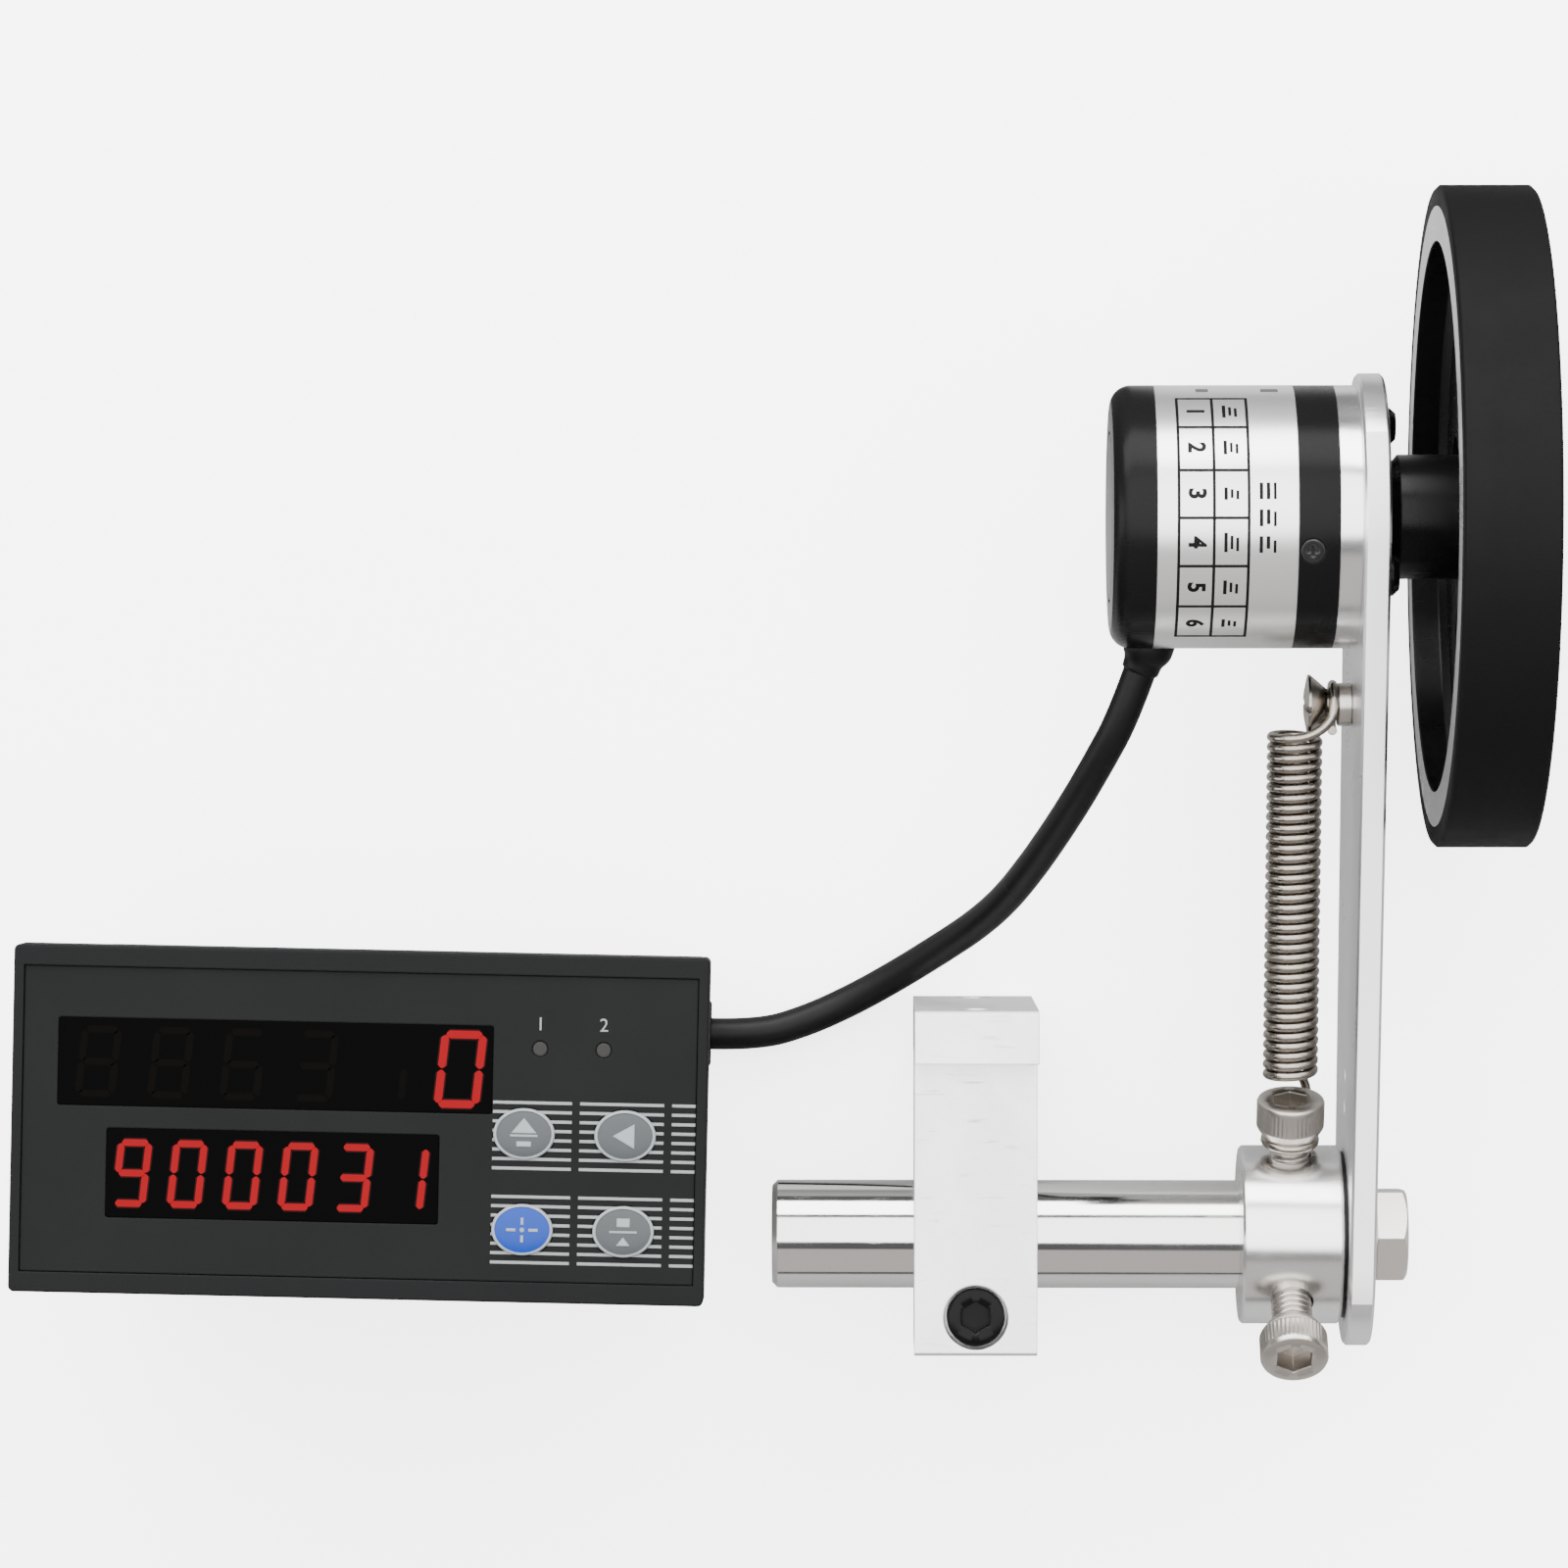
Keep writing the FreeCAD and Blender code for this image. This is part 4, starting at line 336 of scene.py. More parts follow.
# Each finish: colour, second colour, metallic, roughness from and to, scratches, grain as scale,
# stretch and cloud, depth of the grain in metres, worn edges with painted edge highlight as width and
# amount, their colour, specular
LOOKS = {
    "block aluminium": ((0.88, 0.88, 0.875), (0.72, 0.72, 0.72), 1.0, (0.38, 0.5), 0.2,
                        (1500.0, (1, 1, 1), 0.35), 0.000012, (0.0003, 0.4), (0.95, 0.95, 0.95)),
    "arm aluminium": ((0.84, 0.84, 0.845), (0.74, 0.74, 0.75), 1.0, (0.26, 0.36), 0.1,
                      (900.0, (6, 0.35, 6), 0.2), 0.000006, (0.0003, 0.4), (0.95, 0.95, 0.95)),
    # A lighter, non-metal copy of the arm's aluminium for its up-facing faces: painted light, so that
    # they come out brighter.
    "arm front": ((0.97, 0.97, 0.97), (0.9, 0.9, 0.905), 0.0, (0.42, 0.5), 0.1,
                  (900.0, (6, 0.35, 6), 0.2), 0.000008, (0.0003, 0.4), (0.95, 0.95, 0.95)),
    "rod steel": ((0.7, 0.69, 0.68), (0.63, 0.62, 0.61), 1.0, (0.06, 0.12), 0.08,
                  (1400.0, (7, 0.5, 0.5), 0.2), 0.0000006),
    "turned end": ((0.6, 0.59, 0.58), (0.5, 0.49, 0.48), 0.9, (0.4, 0.55), 0.08, (1400.0, (1, 1, 1), 0.2),
                   0.00001),
    "collar steel": ((0.77, 0.765, 0.76), (0.7, 0.695, 0.69), 1.0, (0.17, 0.24), 0.06,
                     (1600.0, (6, 0.4, 0.4), 0.2), 0.000001, (0.0003, 0.3)),
    "bolt steel": ((0.76, 0.73, 0.69), (0.68, 0.65, 0.61), 1.0, (0.22, 0.36), 0.1,
                   (2200.0, (1, 1, 1), 0.3), 0.000008, (0.0002, 0.6), (0.8, 0.78, 0.74)),
    "screw steel": ((0.5, 0.468, 0.43), (0.41, 0.383, 0.35), 1.0, (0.22, 0.36), 0.1,
                    (2200.0, (1, 1, 1), 0.3), 0.000008, (0.0002, 0.6), (0.7, 0.68, 0.64)),
    "spring wire": ((0.34, 0.31, 0.272), (0.23, 0.205, 0.178), 1.0, (0.16, 0.28), 0.1,
                    (2600.0, (1, 1, 1), 0.3), 0.000005),
    # On the black screws the light edge colour is a painted ring highlight as well as wear.
    "black screw": ((0.004, 0.004, 0.0042), (0.003, 0.003, 0.0032), 0.0, (0.16, 0.26), 0.08,
                    (2400.0, (1, 1, 1), 0.3), 0.000006, (0.0003, 0.8), (0.04, 0.04, 0.04), 0.07),
    "cover screw": ((0.016, 0.016, 0.0165), (0.01, 0.01, 0.0105), 0.3, (0.2, 0.32), 0.1,
                    (2400.0, (1, 1, 1), 0.3), 0.000008, (0.0004, 1.0), (0.09, 0.09, 0.09), 0.3),
    "encoder black": ((0.006, 0.006, 0.0062), (0.004, 0.004, 0.0042), 0.0, (0.24, 0.31), 0.04,
                      (2600.0, (1, 1, 1), 0.25), 0.000003, (0.0003, 0.35), (0.05, 0.05, 0.05), 0.07),
    "encoder end": ((0.24, 0.24, 0.245), (0.2, 0.2, 0.205), 0.4, (0.3, 0.4), 0.04,
                    (2600.0, (1, 1, 1), 0.25), 0.000005, (0.0003, 0.2)),
    "label silver": ((0.78, 0.78, 0.77), (0.72, 0.72, 0.715), 0.92, (0.3, 0.32), 0.0,
                     (1700.0, (1, 1, 1), 0.1), 0.0000001),
    "label ink": ((0.004, 0.004, 0.0045), None, 0.0, (0.4, 0.5), 0.02, (1800.0, (1, 1, 1), 0.3), 0.00001,
                  (0.00025, 0.0), None, 0.1),
    "hub black": ((0.0032, 0.0032, 0.0033), (0.002, 0.002, 0.0021), 0.0, (0.2, 0.34), 0.06,
                  (1800.0, (3, 1, 1), 0.3), 0.000006, (0.0004, 0.3), (0.035, 0.035, 0.035), 0.15),
    "rim silver": ((0.58, 0.565, 0.57), (0.51, 0.5, 0.505), 1.0, (0.25, 0.36), 0.05,
                   (1500.0, (1, 3, 3), 0.2), 0.000006, (0.0002, 0.4)),
    "tread rubber": ((0.004, 0.004, 0.0041), (0.0028, 0.0028, 0.0029), 0.0, (0.6, 0.75), 0.02,
                     (1500.0, (1, 1, 1), 0.4), 0.00003, (0.0004, 0.25), (0.018, 0.018, 0.018), 0.08),
    "cable rubber": ((0.0035, 0.0035, 0.0036), (0.0025, 0.0025, 0.0026), 0.0, (0.38, 0.5), 0.03,
                     (1900.0, (1, 1, 1), 0.35), 0.000015, (0.0003, 0.0), None, 0.15),
    "bezel plastic": ((0.0095, 0.0098, 0.01), (0.0075, 0.0078, 0.008), 0.0, (0.42, 0.55), 0.03,
                      (3200.0, (1, 1, 1), 0.3), 0.00002, (0.0003, 0.35), (0.025, 0.026, 0.027), 0.03),
    "panel film": ((0.006, 0.0068, 0.0066), (0.005, 0.0057, 0.0055), 0.0, (0.36, 0.5), 0.03,
                   (3600.0, (1, 1, 1), 0.3), 0.000012, (0.0003, 0.0), None, 0.06),
    "window black": ((0.0006, 0.0005, 0.0005), (0.0004, 0.0003, 0.0003), 0.0, (0.12, 0.2), 0.03,
                     (2000.0, (1, 1, 1), 0.3), 0.000001, (0.0002, 0.0), None, 0.012),
    "panel print": ((0.2, 0.204, 0.208), (0.17, 0.174, 0.178), 0.0, (0.4, 0.5), 0.02,
                    (3000.0, (1, 1, 1), 0.4), 0.000002),
    "key ring": ((0.22, 0.24, 0.253), (0.19, 0.208, 0.222), 0.0, (0.35, 0.45), 0.03,
                 (3000.0, (1, 1, 1), 0.4), 0.000002),
    "key grey": ((0.055, 0.059, 0.062), (0.047, 0.05, 0.053), 0.0, (0.32, 0.42), 0.03,
                 (2600.0, (1, 1, 1), 0.4), 0.000004, (0.0002, 0.2), None, 0.2),
    "key blue": ((0.004, 0.035, 0.26), (0.003, 0.03, 0.22), 0.0, (0.3, 0.4), 0.03,
                 (2600.0, (1, 1, 1), 0.4), 0.000004, (0.0002, 0.2), None, 0.2),
    "lamp lens": ((0.026, 0.025, 0.0245), (0.02, 0.0195, 0.019), 0.0, (0.5, 0.6), 0.02,
                  (2600.0, (1, 1, 1), 0.4), 0.000004, (0.0004, 0.0), None, 0.1),
    "ghost segment": ((0.0014, 0.0012, 0.0009), (0.001, 0.0008, 0.0006), 0.0, (0.2, 0.3), 0.0,
                      (1800.0, (1, 1, 1), 0.3), 0.00001, (0.00025, 0.0), None, 0.014),
    "board green": ((0.02, 0.12, 0.05), (0.015, 0.09, 0.04), 0.0, (0.3, 0.45), 0.04,
                    (900.0, (1, 1, 1), 0.3), 0.00001),
    "component grey": ((0.05, 0.05, 0.055), None, 0.0, (0.4, 0.55)),
    "transformer iron": ((0.12, 0.12, 0.125), None, 0.8, (0.45, 0.6), 0.1, (1200.0, (1, 1, 8), 0.2),
                         0.00003),
    "washer black": ((0.004, 0.004, 0.004), None, 0.0, (0.4, 0.5), 0.05, (1800.0, (1, 1, 1), 0.3),
                     0.00001, (0.00025, 0.0), None, 0.2),
}

FINISHES = {name: make_finish(name, *look) for name, look in LOOKS.items()}
FINISHES["digit glow"] = make_glow("digit glow", (0.75, 0.001, 0.01), 0.75, (0.02, 0.0, 0.0))
# A faint glow painted round the lit segments.
FINISHES["digit haze"] = make_glow("digit haze", (0.035, 0.0001, 0.0004), 1.0, (0.002, 0.0, 0.0))


# Mesh helpers

def shade(mesh, limit=32.0):
    """Smooth faces with sharp edges where they turn by more than a limit."""
    work = bmesh.new()
    work.from_mesh(mesh)
    for face in work.faces:
        face.smooth = True
    for edge in work.edges:
        edge.smooth = len(edge.link_faces) == 2 and edge.calc_face_angle(0.0) < math.radians(limit)
    work.to_mesh(mesh)
    work.free()


def finish_piece(name, mesh, body, finishes, nodes=()):
    """Puts a finished mesh, in metres, into the scene and onto its body, if it has just one."""
    for finish in finishes if isinstance(finishes, (list, tuple)) else [finishes]:
        mesh.materials.append(FINISHES[finish])
    item = into_scene(name, mesh)
    if body:
        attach(item, body)
    if nodes:
        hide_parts(*nodes)
    return item


def body_of(node):
    bodies = frame["record"]["behaviour"]["bodies"]
    return next(b for b, members in bodies.items() if node in members)


def merged_copy(node):
    """The node's own shape with its loose triangles joined."""
    source = frame["nodes"][node].data
    places = [v.co[:] for v in source.vertices]
    faces = [tuple(p.vertices) for p in source.polygons]
    mesh = bpy.data.meshes.new(node + "_skin")
    mesh.from_pydata(places, [], faces)
    work = bmesh.new()
    work.from_mesh(mesh)
    bmesh.ops.remove_doubles(work, verts=work.verts, dist=0.000002)
    bmesh.ops.dissolve_degenerate(work, edges=work.edges, dist=0.0000005)
    work.to_mesh(mesh)
    work.free()
    return mesh


def dress(node, finishes, limit=32.0, choose=None):
    """Shows a CAD node with smooth shading and its finish. choose gives a face its finish."""
    mesh = merged_copy(node)
    shade(mesh, limit)
    item = finish_piece(node + "_skin", mesh, body_of(node), finishes, [node])
    if choose:
        for face in mesh.polygons:
            face.material_index = choose(face)
    even = item.modifiers.new("even shading", "WEIGHTED_NORMAL")
    even.keep_sharp = True
    return item


def paint(node, finish):
    """Gives a CAD node that stays as it is its finish."""
    data = frame["nodes"][node].data
    data.materials.clear()
    data.materials.append(FINISHES[finish])


def rows_mesh(name, rows, count, place):
    """A closed skin over rings of points: each row has a height and a radius for an angle."""
    verts = []
    for z, radius in rows:
        for k in range(count):
            a = TAU * k / count
            r = radius(a) if callable(radius) else radius
            verts.append(place @ Vector((r * math.cos(a), r * math.sin(a), z)) * MM)
    faces = []
    for j in range(len(rows) - 1):
        for k in range(count):
            n = (k + 1) % count
            faces.append((j * count + k, j * count + n, (j + 1) * count + n, (j + 1) * count + k))
    faces.append(tuple(reversed(range(count))))
    faces.append(tuple(range(len(verts) - count, len(verts))))
    mesh = bpy.data.meshes.new(name)
    mesh.from_pydata(verts, [], faces)
    return mesh


def join_meshes(name, meshes):
    """One mesh out of several."""
    work = bmesh.new()
    for mesh in meshes:
        work.from_mesh(mesh)
    joined = bpy.data.meshes.new(name)
    work.to_mesh(joined)
    work.free()
    for mesh in meshes:
        bpy.data.meshes.remove(mesh)
    return joined


def flat_mesh(name, outlines, thick, place):
    """Thin plates on the XY plane from outlines that run anticlockwise."""
    verts = []
    faces = []
    for outline in outlines:
        low = range(len(verts), len(verts) + len(outline))
        high = range(low.stop, low.stop + len(outline))
        verts += [(x, y, z) for z in (0.0, thick) for x, y in outline]
        faces += [tuple(reversed(low)), tuple(high)]
        faces += [(low[k - 1], low[k], high[k], high[k - 1]) for k in range(len(outline))]
    mesh = bpy.data.meshes.new(name)
    mesh.from_pydata(verts, [], faces)
    mesh.transform(Matrix.Diagonal((MM, MM, MM, 1.0)) @ place)
    return mesh


# Geometry Nodes trees

def make_set_out_tree():
    """Repeats a pattern at marked places, with each mark's own turn and stretch."""
    tree, given, result = new_group(
        "set out", "GeometryNodeTree",
        [("Geometry", "Geometry", None), ("Pattern", "Object", None), ("Finish", "Material", None),
         ("Size", "Float", 1.0)], [("Geometry", "Geometry")])
    pattern = add(tree, "GeometryNodeObjectInfo", {"Object": given["Pattern"]})
    turn = add(tree, "GeometryNodeInputNamedAttribute", {"Name": "turn"}, data_type="FLOAT_VECTOR")
    stretch = add(tree, "GeometryNodeInputNamedAttribute", {"Name": "stretch"}, data_type="FLOAT_VECTOR")
    sized = add(tree, "ShaderNodeVectorMath", {0: stretch.outputs[0], "Scale": given["Size"]},
                operation="SCALE")
    euler = add(tree, "FunctionNodeEulerToRotation", {"Euler": turn.outputs[0]})
    spread = add(tree, "GeometryNodeInstanceOnPoints",
                 {"Points": given["Geometry"], "Instance": pattern.outputs["Geometry"],
                  "Rotation": euler.outputs[0], "Scale": sized.outputs[0]})
    return end_tree(tree, given, result, spread)


def make_wire_tree():
    """Sweeps a round section along a curve, with closed ends."""
    tree, given, result = new_group(
        "round wire", "GeometryNodeTree",
        [("Geometry", "Geometry", None), ("Wire Radius", "Float", 0.0005), ("Sides", "Int", 12),
         ("Finish", "Material", None)], [("Geometry", "Geometry")])
    ring = add(tree, "GeometryNodeCurvePrimitiveCircle", {"Resolution": given["Sides"],
                                                          "Radius": given["Wire Radius"]}, mode="RADIUS")
    swept = add(tree, "GeometryNodeCurveToMesh", {"Curve": given["Geometry"],
                                                  "Profile Curve": ring.outputs[0], "Fill Caps": True})
    return end_tree(tree, given, result, swept)


def end_tree(tree, given, result, last):
    """Makes the last node's geometry real, gives it its finish and hands it out."""
    real = add(tree, "GeometryNodeRealizeInstances", {"Geometry": last.outputs[0]})
    faced = add(tree, "GeometryNodeSetMaterial", {"Geometry": real.outputs[0],
                                                  "Material": given["Finish"]})
    tree.links.new(faced.outputs[0], result["Geometry"])
    return tree


SET_OUT = make_set_out_tree()
ROUND_WIRE = make_wire_tree()


def run_tree(holder, tree, values):
    """Runs a tree on an object, keeps the result as a plain mesh and drops the object."""
    step = holder.modifiers.new(tree.name, "NODES")
    step.node_group = tree
    names = {item.name: item.identifier for item in tree.interface.items_tree
             if item.item_type == "SOCKET" and item.in_out == "INPUT"}
    for label, value in values.items():
        step[names[label]] = value
    bpy.context.view_layer.update()
    ready = holder.evaluated_get(bpy.context.evaluated_depsgraph_get())
    mesh = bpy.data.meshes.new_from_object(ready)
    holder.modifiers.clear()
    bpy.data.objects.remove(holder)
    return mesh


def set_out(name, pattern, spots, finish):
    """A mesh with the pattern at every spot: place, turn in radians, stretch."""
    marks = bpy.data.meshes.new(name + "_marks")
    marks.from_pydata([Vector(place) * MM for place, _, _ in spots], [], [])
    for column, key in enumerate(("turn", "stretch"), 1):
        values = marks.attributes.new(key, "FLOAT_VECTOR", "POINT")
        values.data.foreach_set("vector", [c for spot in spots for c in spot[column]])
    holder = into_scene(name + "_marks", marks)
    shape = into_scene(name + "_pattern", pattern)
    mesh = run_tree(holder, SET_OUT, {"Pattern": shape, "Finish": FINISHES[finish], "Size": 1.0})
    bpy.data.objects.remove(shape)
    mesh.materials.clear()
    for key in ("turn", "stretch"):
        if key in mesh.attributes:
            mesh.attributes.remove(mesh.attributes[key])
    shade(mesh)
    return mesh


def turned_by(place, extra=(0, 0, 0)):
    """The Euler turn of a placement, with one more turn in its own frame."""
    return tuple((place.to_3x3() @ Euler(extra).to_matrix()).to_euler())


# Tension spring

def spring_line():
    """Closely spaced points along the wire, from the lower hook's tip to the upper loop's tip."""
    tilt = math.radians(UPPER_SCREW_ANGLE)
    screw_out = Vector((0, math.sin(tilt), math.cos(tilt)))
    hook_up = Vector((0, math.cos(tilt), -math.sin(tilt)))
    across = Vector((1, 0, 0))
    hook = Vector((SCREW_X, ROD_Y, 0)) + screw_out * (UPPER_SEAT_R - HOOK_UNDER_HEAD)
    slack = LOOP_MEAN_R - WIRE_R - POST_NECK_R - LOOP_GAP
    loop = Vector((ARM_LEFT_X - LOOP_FROM_ARM, ROD_Y + POST_ALONG * math.cos(ARM_LEAN) - slack,
                   POST_ALONG * math.sin(ARM_LEAN)))
    foot = hook + Vector((0, COIL_FOOT_AHEAD, COIL_FOOT_LIFT))
    axis = Vector((0, loop.y - foot.y, loop.z - foot.z))
    coil_length = axis.length - COIL_ENDS
    curls = int(coil_length / COIL_PITCH)
    rise = coil_length / curls / TAU
    axis.normalize()
    back = Vector((0, axis.z, -axis.y))
    points = []
    for degrees in range(-270, 1, 15):
        a = math.radians(degrees)
        points.append(hook + (across * math.cos(a) + hook_up * math.sin(a)) * HOOK_MEAN_R)
    hook_end = points[-1]
    bend = hook + across * (HOOK_MEAN_R - WIRE_R) + hook_up * HOOK_RISE
    bend_way = Vector((-1, COIL_FOOT_AHEAD, -1)).normalized()
    start = foot + back * COIL_MEAN_R
    start_way = (-across * COIL_MEAN_R + axis * rise).normalized()
    points += hermite(hook_end, hook_up, bend, bend_way, 6)
    points += hermite(bend, bend_way, start, start_way, 9)
    quarter = math.pi / 2
    steps = curls * 4 + 2
    for k in range(1, steps * 6 + 1):
        a = quarter * (1 + k / 6)
        around = across * math.cos(a) + back * math.sin(a)
        points.append(foot + around * COIL_MEAN_R + axis * (rise * quarter * k / 6))
    a = quarter * (1 + steps)
    forward = back * math.cos(a) - across * math.sin(a)
    coil_end = points[-1]
    loop_start = loop + Vector((0, 0, LOOP_MEAN_R))
    end_way = (forward * COIL_MEAN_R + axis * rise).normalized()
    points += hermite(coil_end, end_way, loop_start, Vector((0, 1, 0)), 10)
    for degrees in range(15, 271, 15):
        a = math.radians(degrees)
        points.append(loop + Vector((0, math.sin(a), math.cos(a))) * LOOP_MEAN_R)
    return points


def hermite(p0, t0, p1, t1, steps):
    """Points of a smooth curve after its start, up to and with its end."""
    reach = (p1 - p0).length * 1.1
    points = []
    for k in range(1, steps + 1):
        t = k / steps
        points.append(p0 * (2 * t ** 3 - 3 * t ** 2 + 1) + t0 * reach * (t ** 3 - 2 * t ** 2 + t)
                      + p1 * (3 * t ** 2 - 2 * t ** 3) + t1 * reach * (t ** 3 - t ** 2))
    return points


def line_object(name, kind, route):
    """An object with one spline on the points of a route in millimetres, and that spline."""
    curve = bpy.data.curves.new(name, "CURVE")
    curve.dimensions = "3D"
    run = curve.splines.new(kind)
    run.points.add(len(route) - 1)
    for point, place in zip(run.points, route):
        point.co = (*(place * MM), 1.0)
    return into_scene(name, curve), run


def make_spring():
    line = spring_line()
    holder, _ = line_object("spring_line", "POLY", line)
    mesh = run_tree(holder, ROUND_WIRE, {"Wire Radius": SHOWN_WIRE_R * MM, "Sides": 14,
                                         "Finish": FINISHES["spring wire"]})
    mesh.materials.clear()
    shade(mesh, 60.0)
    item = finish_piece("spring_wire", mesh, None, "spring wire", ["tension_spring"])
    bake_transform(item)


# Screws with threads, knurls and sockets

def hexagon_radius(flats):
    """The radius of a hexagon at an angle, for its size across flats."""
    def radius(a):
        return flats / 2 / math.cos((a + math.pi / 6) % (math.pi / 3) - math.pi / 6)
    return radius


def socket_head(name, radius, height, flats, depth, ridges, place, seat_r=None, taper=0.0):
    """A socket cap head on its seat: knurled side, rounded rims and a hexagon socket."""
    def knurl(amount):
        return lambda a: radius - amount * (0.5 - 0.5 * math.cos(ridges * a))
    edge = 0.09 * radius
    flat_r = hexagon_radius(flats)
    seat_r = seat_r or radius - edge
    top = height
    rows = [(0.0, radius * 0.35), (0.0, seat_r), (taper + 0.3 * edge, radius - 0.3 * edge),
            (taper + edge, knurl(0.04)), (taper + 1.6 * edge, knurl(0.1)),
            (top - 3.2 * edge, knurl(0.1)), (top - 2.6 * edge, radius), (top - 1.2 * edge, radius),
            (top - 0.4 * edge, radius - 0.35 * edge), (top, radius - 1.2 * edge),
            (top, lambda a: flat_r(a) + 0.25), (top - 0.2, flat_r), (top - depth, flat_r),
            (top - depth, 0.05)]
    return rows_mesh(name, rows, ridges * 6, place)


def thread_mesh(name, radius, pitch, low, high, place):
    """A screw thread: the ridge climbs by its pitch in each turn."""
    depth = 0.6 * pitch
    per_turn = 10
    sides = 36
    steps = int((high - low) / pitch * per_turn)
    def ridge(z):
        def at(a):
            phase = (z / pitch - a / TAU) % 1.0
            return radius - depth * min(1.0, max(0.0, abs(2 * phase - 1) * 1.25 - 0.12))
        return at
    heights = [low + (high - low) * k / steps for k in range(steps + 1)]
    return rows_mesh(name, [(z, ridge(z)) for z in heights], sides, place)


def make_collar_screws():
    meshes = []
    for angle, seat in ((UPPER_SCREW_ANGLE, UPPER_SEAT_R), (LOWER_SCREW_ANGLE, LOWER_SEAT_R)):
        place = (Matrix.Translation((SCREW_X, ROD_Y, 0))
                 @ Matrix.Rotation(-math.radians(angle), 4, "X"))
        head = place @ Matrix.Translation((0, 0, seat))
        meshes.append(socket_head("head", radius=5.0, height=6.0, flats=5.0, depth=3.2, ridges=48,
                                  place=head, seat_r=3.9, taper=1.4))
        meshes.append(thread_mesh("thread", radius=3.0, pitch=1.0, low=8.1, high=seat + 0.05,
                                  place=place))
    mesh = join_meshes("collar_screw_pair", meshes)
    shade(mesh, 40.0)
    finish_piece("collar_screw_pair", mesh, "rod", "screw steel", ["collar_screws"])


def make_clamp_screw():
    low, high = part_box("clamp_screw")
    centre = (low + high) / 2 / MM
    seat = high.z / MM - 5.0
    place = Matrix.Translation((centre.x, centre.y, seat))
    head = socket_head("head", radius=4.25, height=5.0, flats=4.0, depth=2.5, ridges=42, place=place)
    shank = thread_mesh("thread", radius=2.5, pitch=0.8, low=-20.0, high=0.05, place=place)
    mesh = join_meshes("clamp_screw_black", [head, shank])
    shade(mesh, 40.0)
    finish_piece("clamp_screw_black", mesh, "base", "black screw", ["clamp_screw"])


# Cable

CABLE_FROM_PLUG = [
    (-25.2, -3.7, -22.4),
    (-18.0, -0.4, -22.1),
    (-11.0, 3.6, -20.1),
    (-4.8, 7.6, -16.7),
    (0.4, 11.2, -12.3),
    (4.6, 15.1, -7.3),
]
CABLE_TO_ENCODER = [
    (8.2, 19.8, -1.8),
    (11.5, 24.8, 3.8),
    (14.8, 30.2, 8.9),
    (18.1, 36.2, 13.3),
]


def cable_ends():
    """The plug's face and the strain relief's tip, with the way out of each."""
    start = ON_METER @ Vector(PLUG_FACE)
    start_way = ON_METER.to_3x3() @ Vector((1, 0, 0))
    down = Vector((-math.sin(GLAND_TILT), -math.cos(GLAND_TILT), 0))
    tip = ON_ENCODER @ (Vector((-GLAND_FROM_ARM, -ENCODER_R, 0)) + down * GLAND_LENGTH)
    return start, start_way, tip, ON_ENCODER.to_3x3() @ down


def cable_piece(name, route, node):
    """A smooth cable along a route from where it leaves."""
    holder, run = line_object(name + "_line", "NURBS", route)
    holder.data.resolution_u = 24
    run.order_u = 3
    run.use_endpoint_u = True
    bpy.context.view_layer.update()
    graph = bpy.context.evaluated_depsgraph_get()
    line = bpy.data.meshes.new_from_object(holder.evaluated_get(graph))
    bpy.data.meshes.remove(line)
    mesh = run_tree(holder, ROUND_WIRE, {"Wire Radius": CABLE_R * MM, "Sides": 32,
                                         "Finish": FINISHES["cable rubber"]})
    mesh.materials.clear()
    shade(mesh, 60.0)
    item = finish_piece(name, mesh, None, "cable rubber", [node])
    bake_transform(item)


def make_cable(plug):
    start, start_way, tip, tip_way = cable_ends()
    lower = [Vector(p) for p in CABLE_FROM_PLUG]
    upper = [Vector(p) for p in CABLE_TO_ENCODER]
    lower = [start, start + start_way * (start - lower[0]).length * 0.5] + lower
    seam = (lower[-1] + upper[0]) * 0.5
    upper = [seam] + upper + [tip + tip_way * (tip - upper[-1]).length * 0.5, tip]
    upper.reverse()
    cable_piece("cable_at_encoder", upper, "signal_cable_upper")
    lower = [seam] + lower[::-1]
    cable_piece("cable_at_meter", lower, "signal_cable_lower")


def make_gland():
    """The moulded strain relief: a domed collar that narrows to the cable."""
    place = (ON_ENCODER @ Matrix.Translation((-GLAND_FROM_ARM, -ENCODER_R, 0))
             @ Matrix.Rotation(-GLAND_TILT, 4, "Z") @ Matrix.Rotation(math.pi / 2, 4, "X"))
    rows = [(-3.3, 3.65), (-0.4, 3.68), (0.0, 3.7), (0.7, 3.66), (1.3, 3.5), (1.8, 3.25), (2.15, 3.02),
            (2.5, 2.88), (3.0, 2.8), (3.5, 2.76), (3.85, 2.7), (4.0, 2.55), (4.0, 2.2)]
    mesh = rows_mesh("gland_boot", rows, 48, place)
    shade(mesh, 50.0)
    finish_piece("gland_boot", mesh, "arm", "cable rubber", ["cable_gland"])


# Encoder label: a plain table of numbers and bars, bent round the housing

def bend_to_label(mesh):
    """Wraps a flat mesh round the housing: X runs along the axis, Y round it from the front."""
    for v in mesh.vertices:
        angle = v.co.y / (ENCODER_R * MM)
        r = ENCODER_R * MM + v.co.z
        v.co = Vector((v.co.x, r * math.sin(angle), r * math.cos(angle)))
    mesh.transform(Matrix.Translation(ON_ENCODER.translation * MM) @ ON_ENCODER.to_3x3().to_4x4())


def strip(x0, x1, y0, y1, pieces=1):
    """Outlines of a bar, cut into pieces along Y so that it can bend."""
    step = (y1 - y0) / pieces
    levels = [(y0 + k * step, y0 + (k + 1) * step) for k in range(pieces)]
    return [[(x0, a), (x1, a), (x1, b), (x0, b)] for a, b in levels]


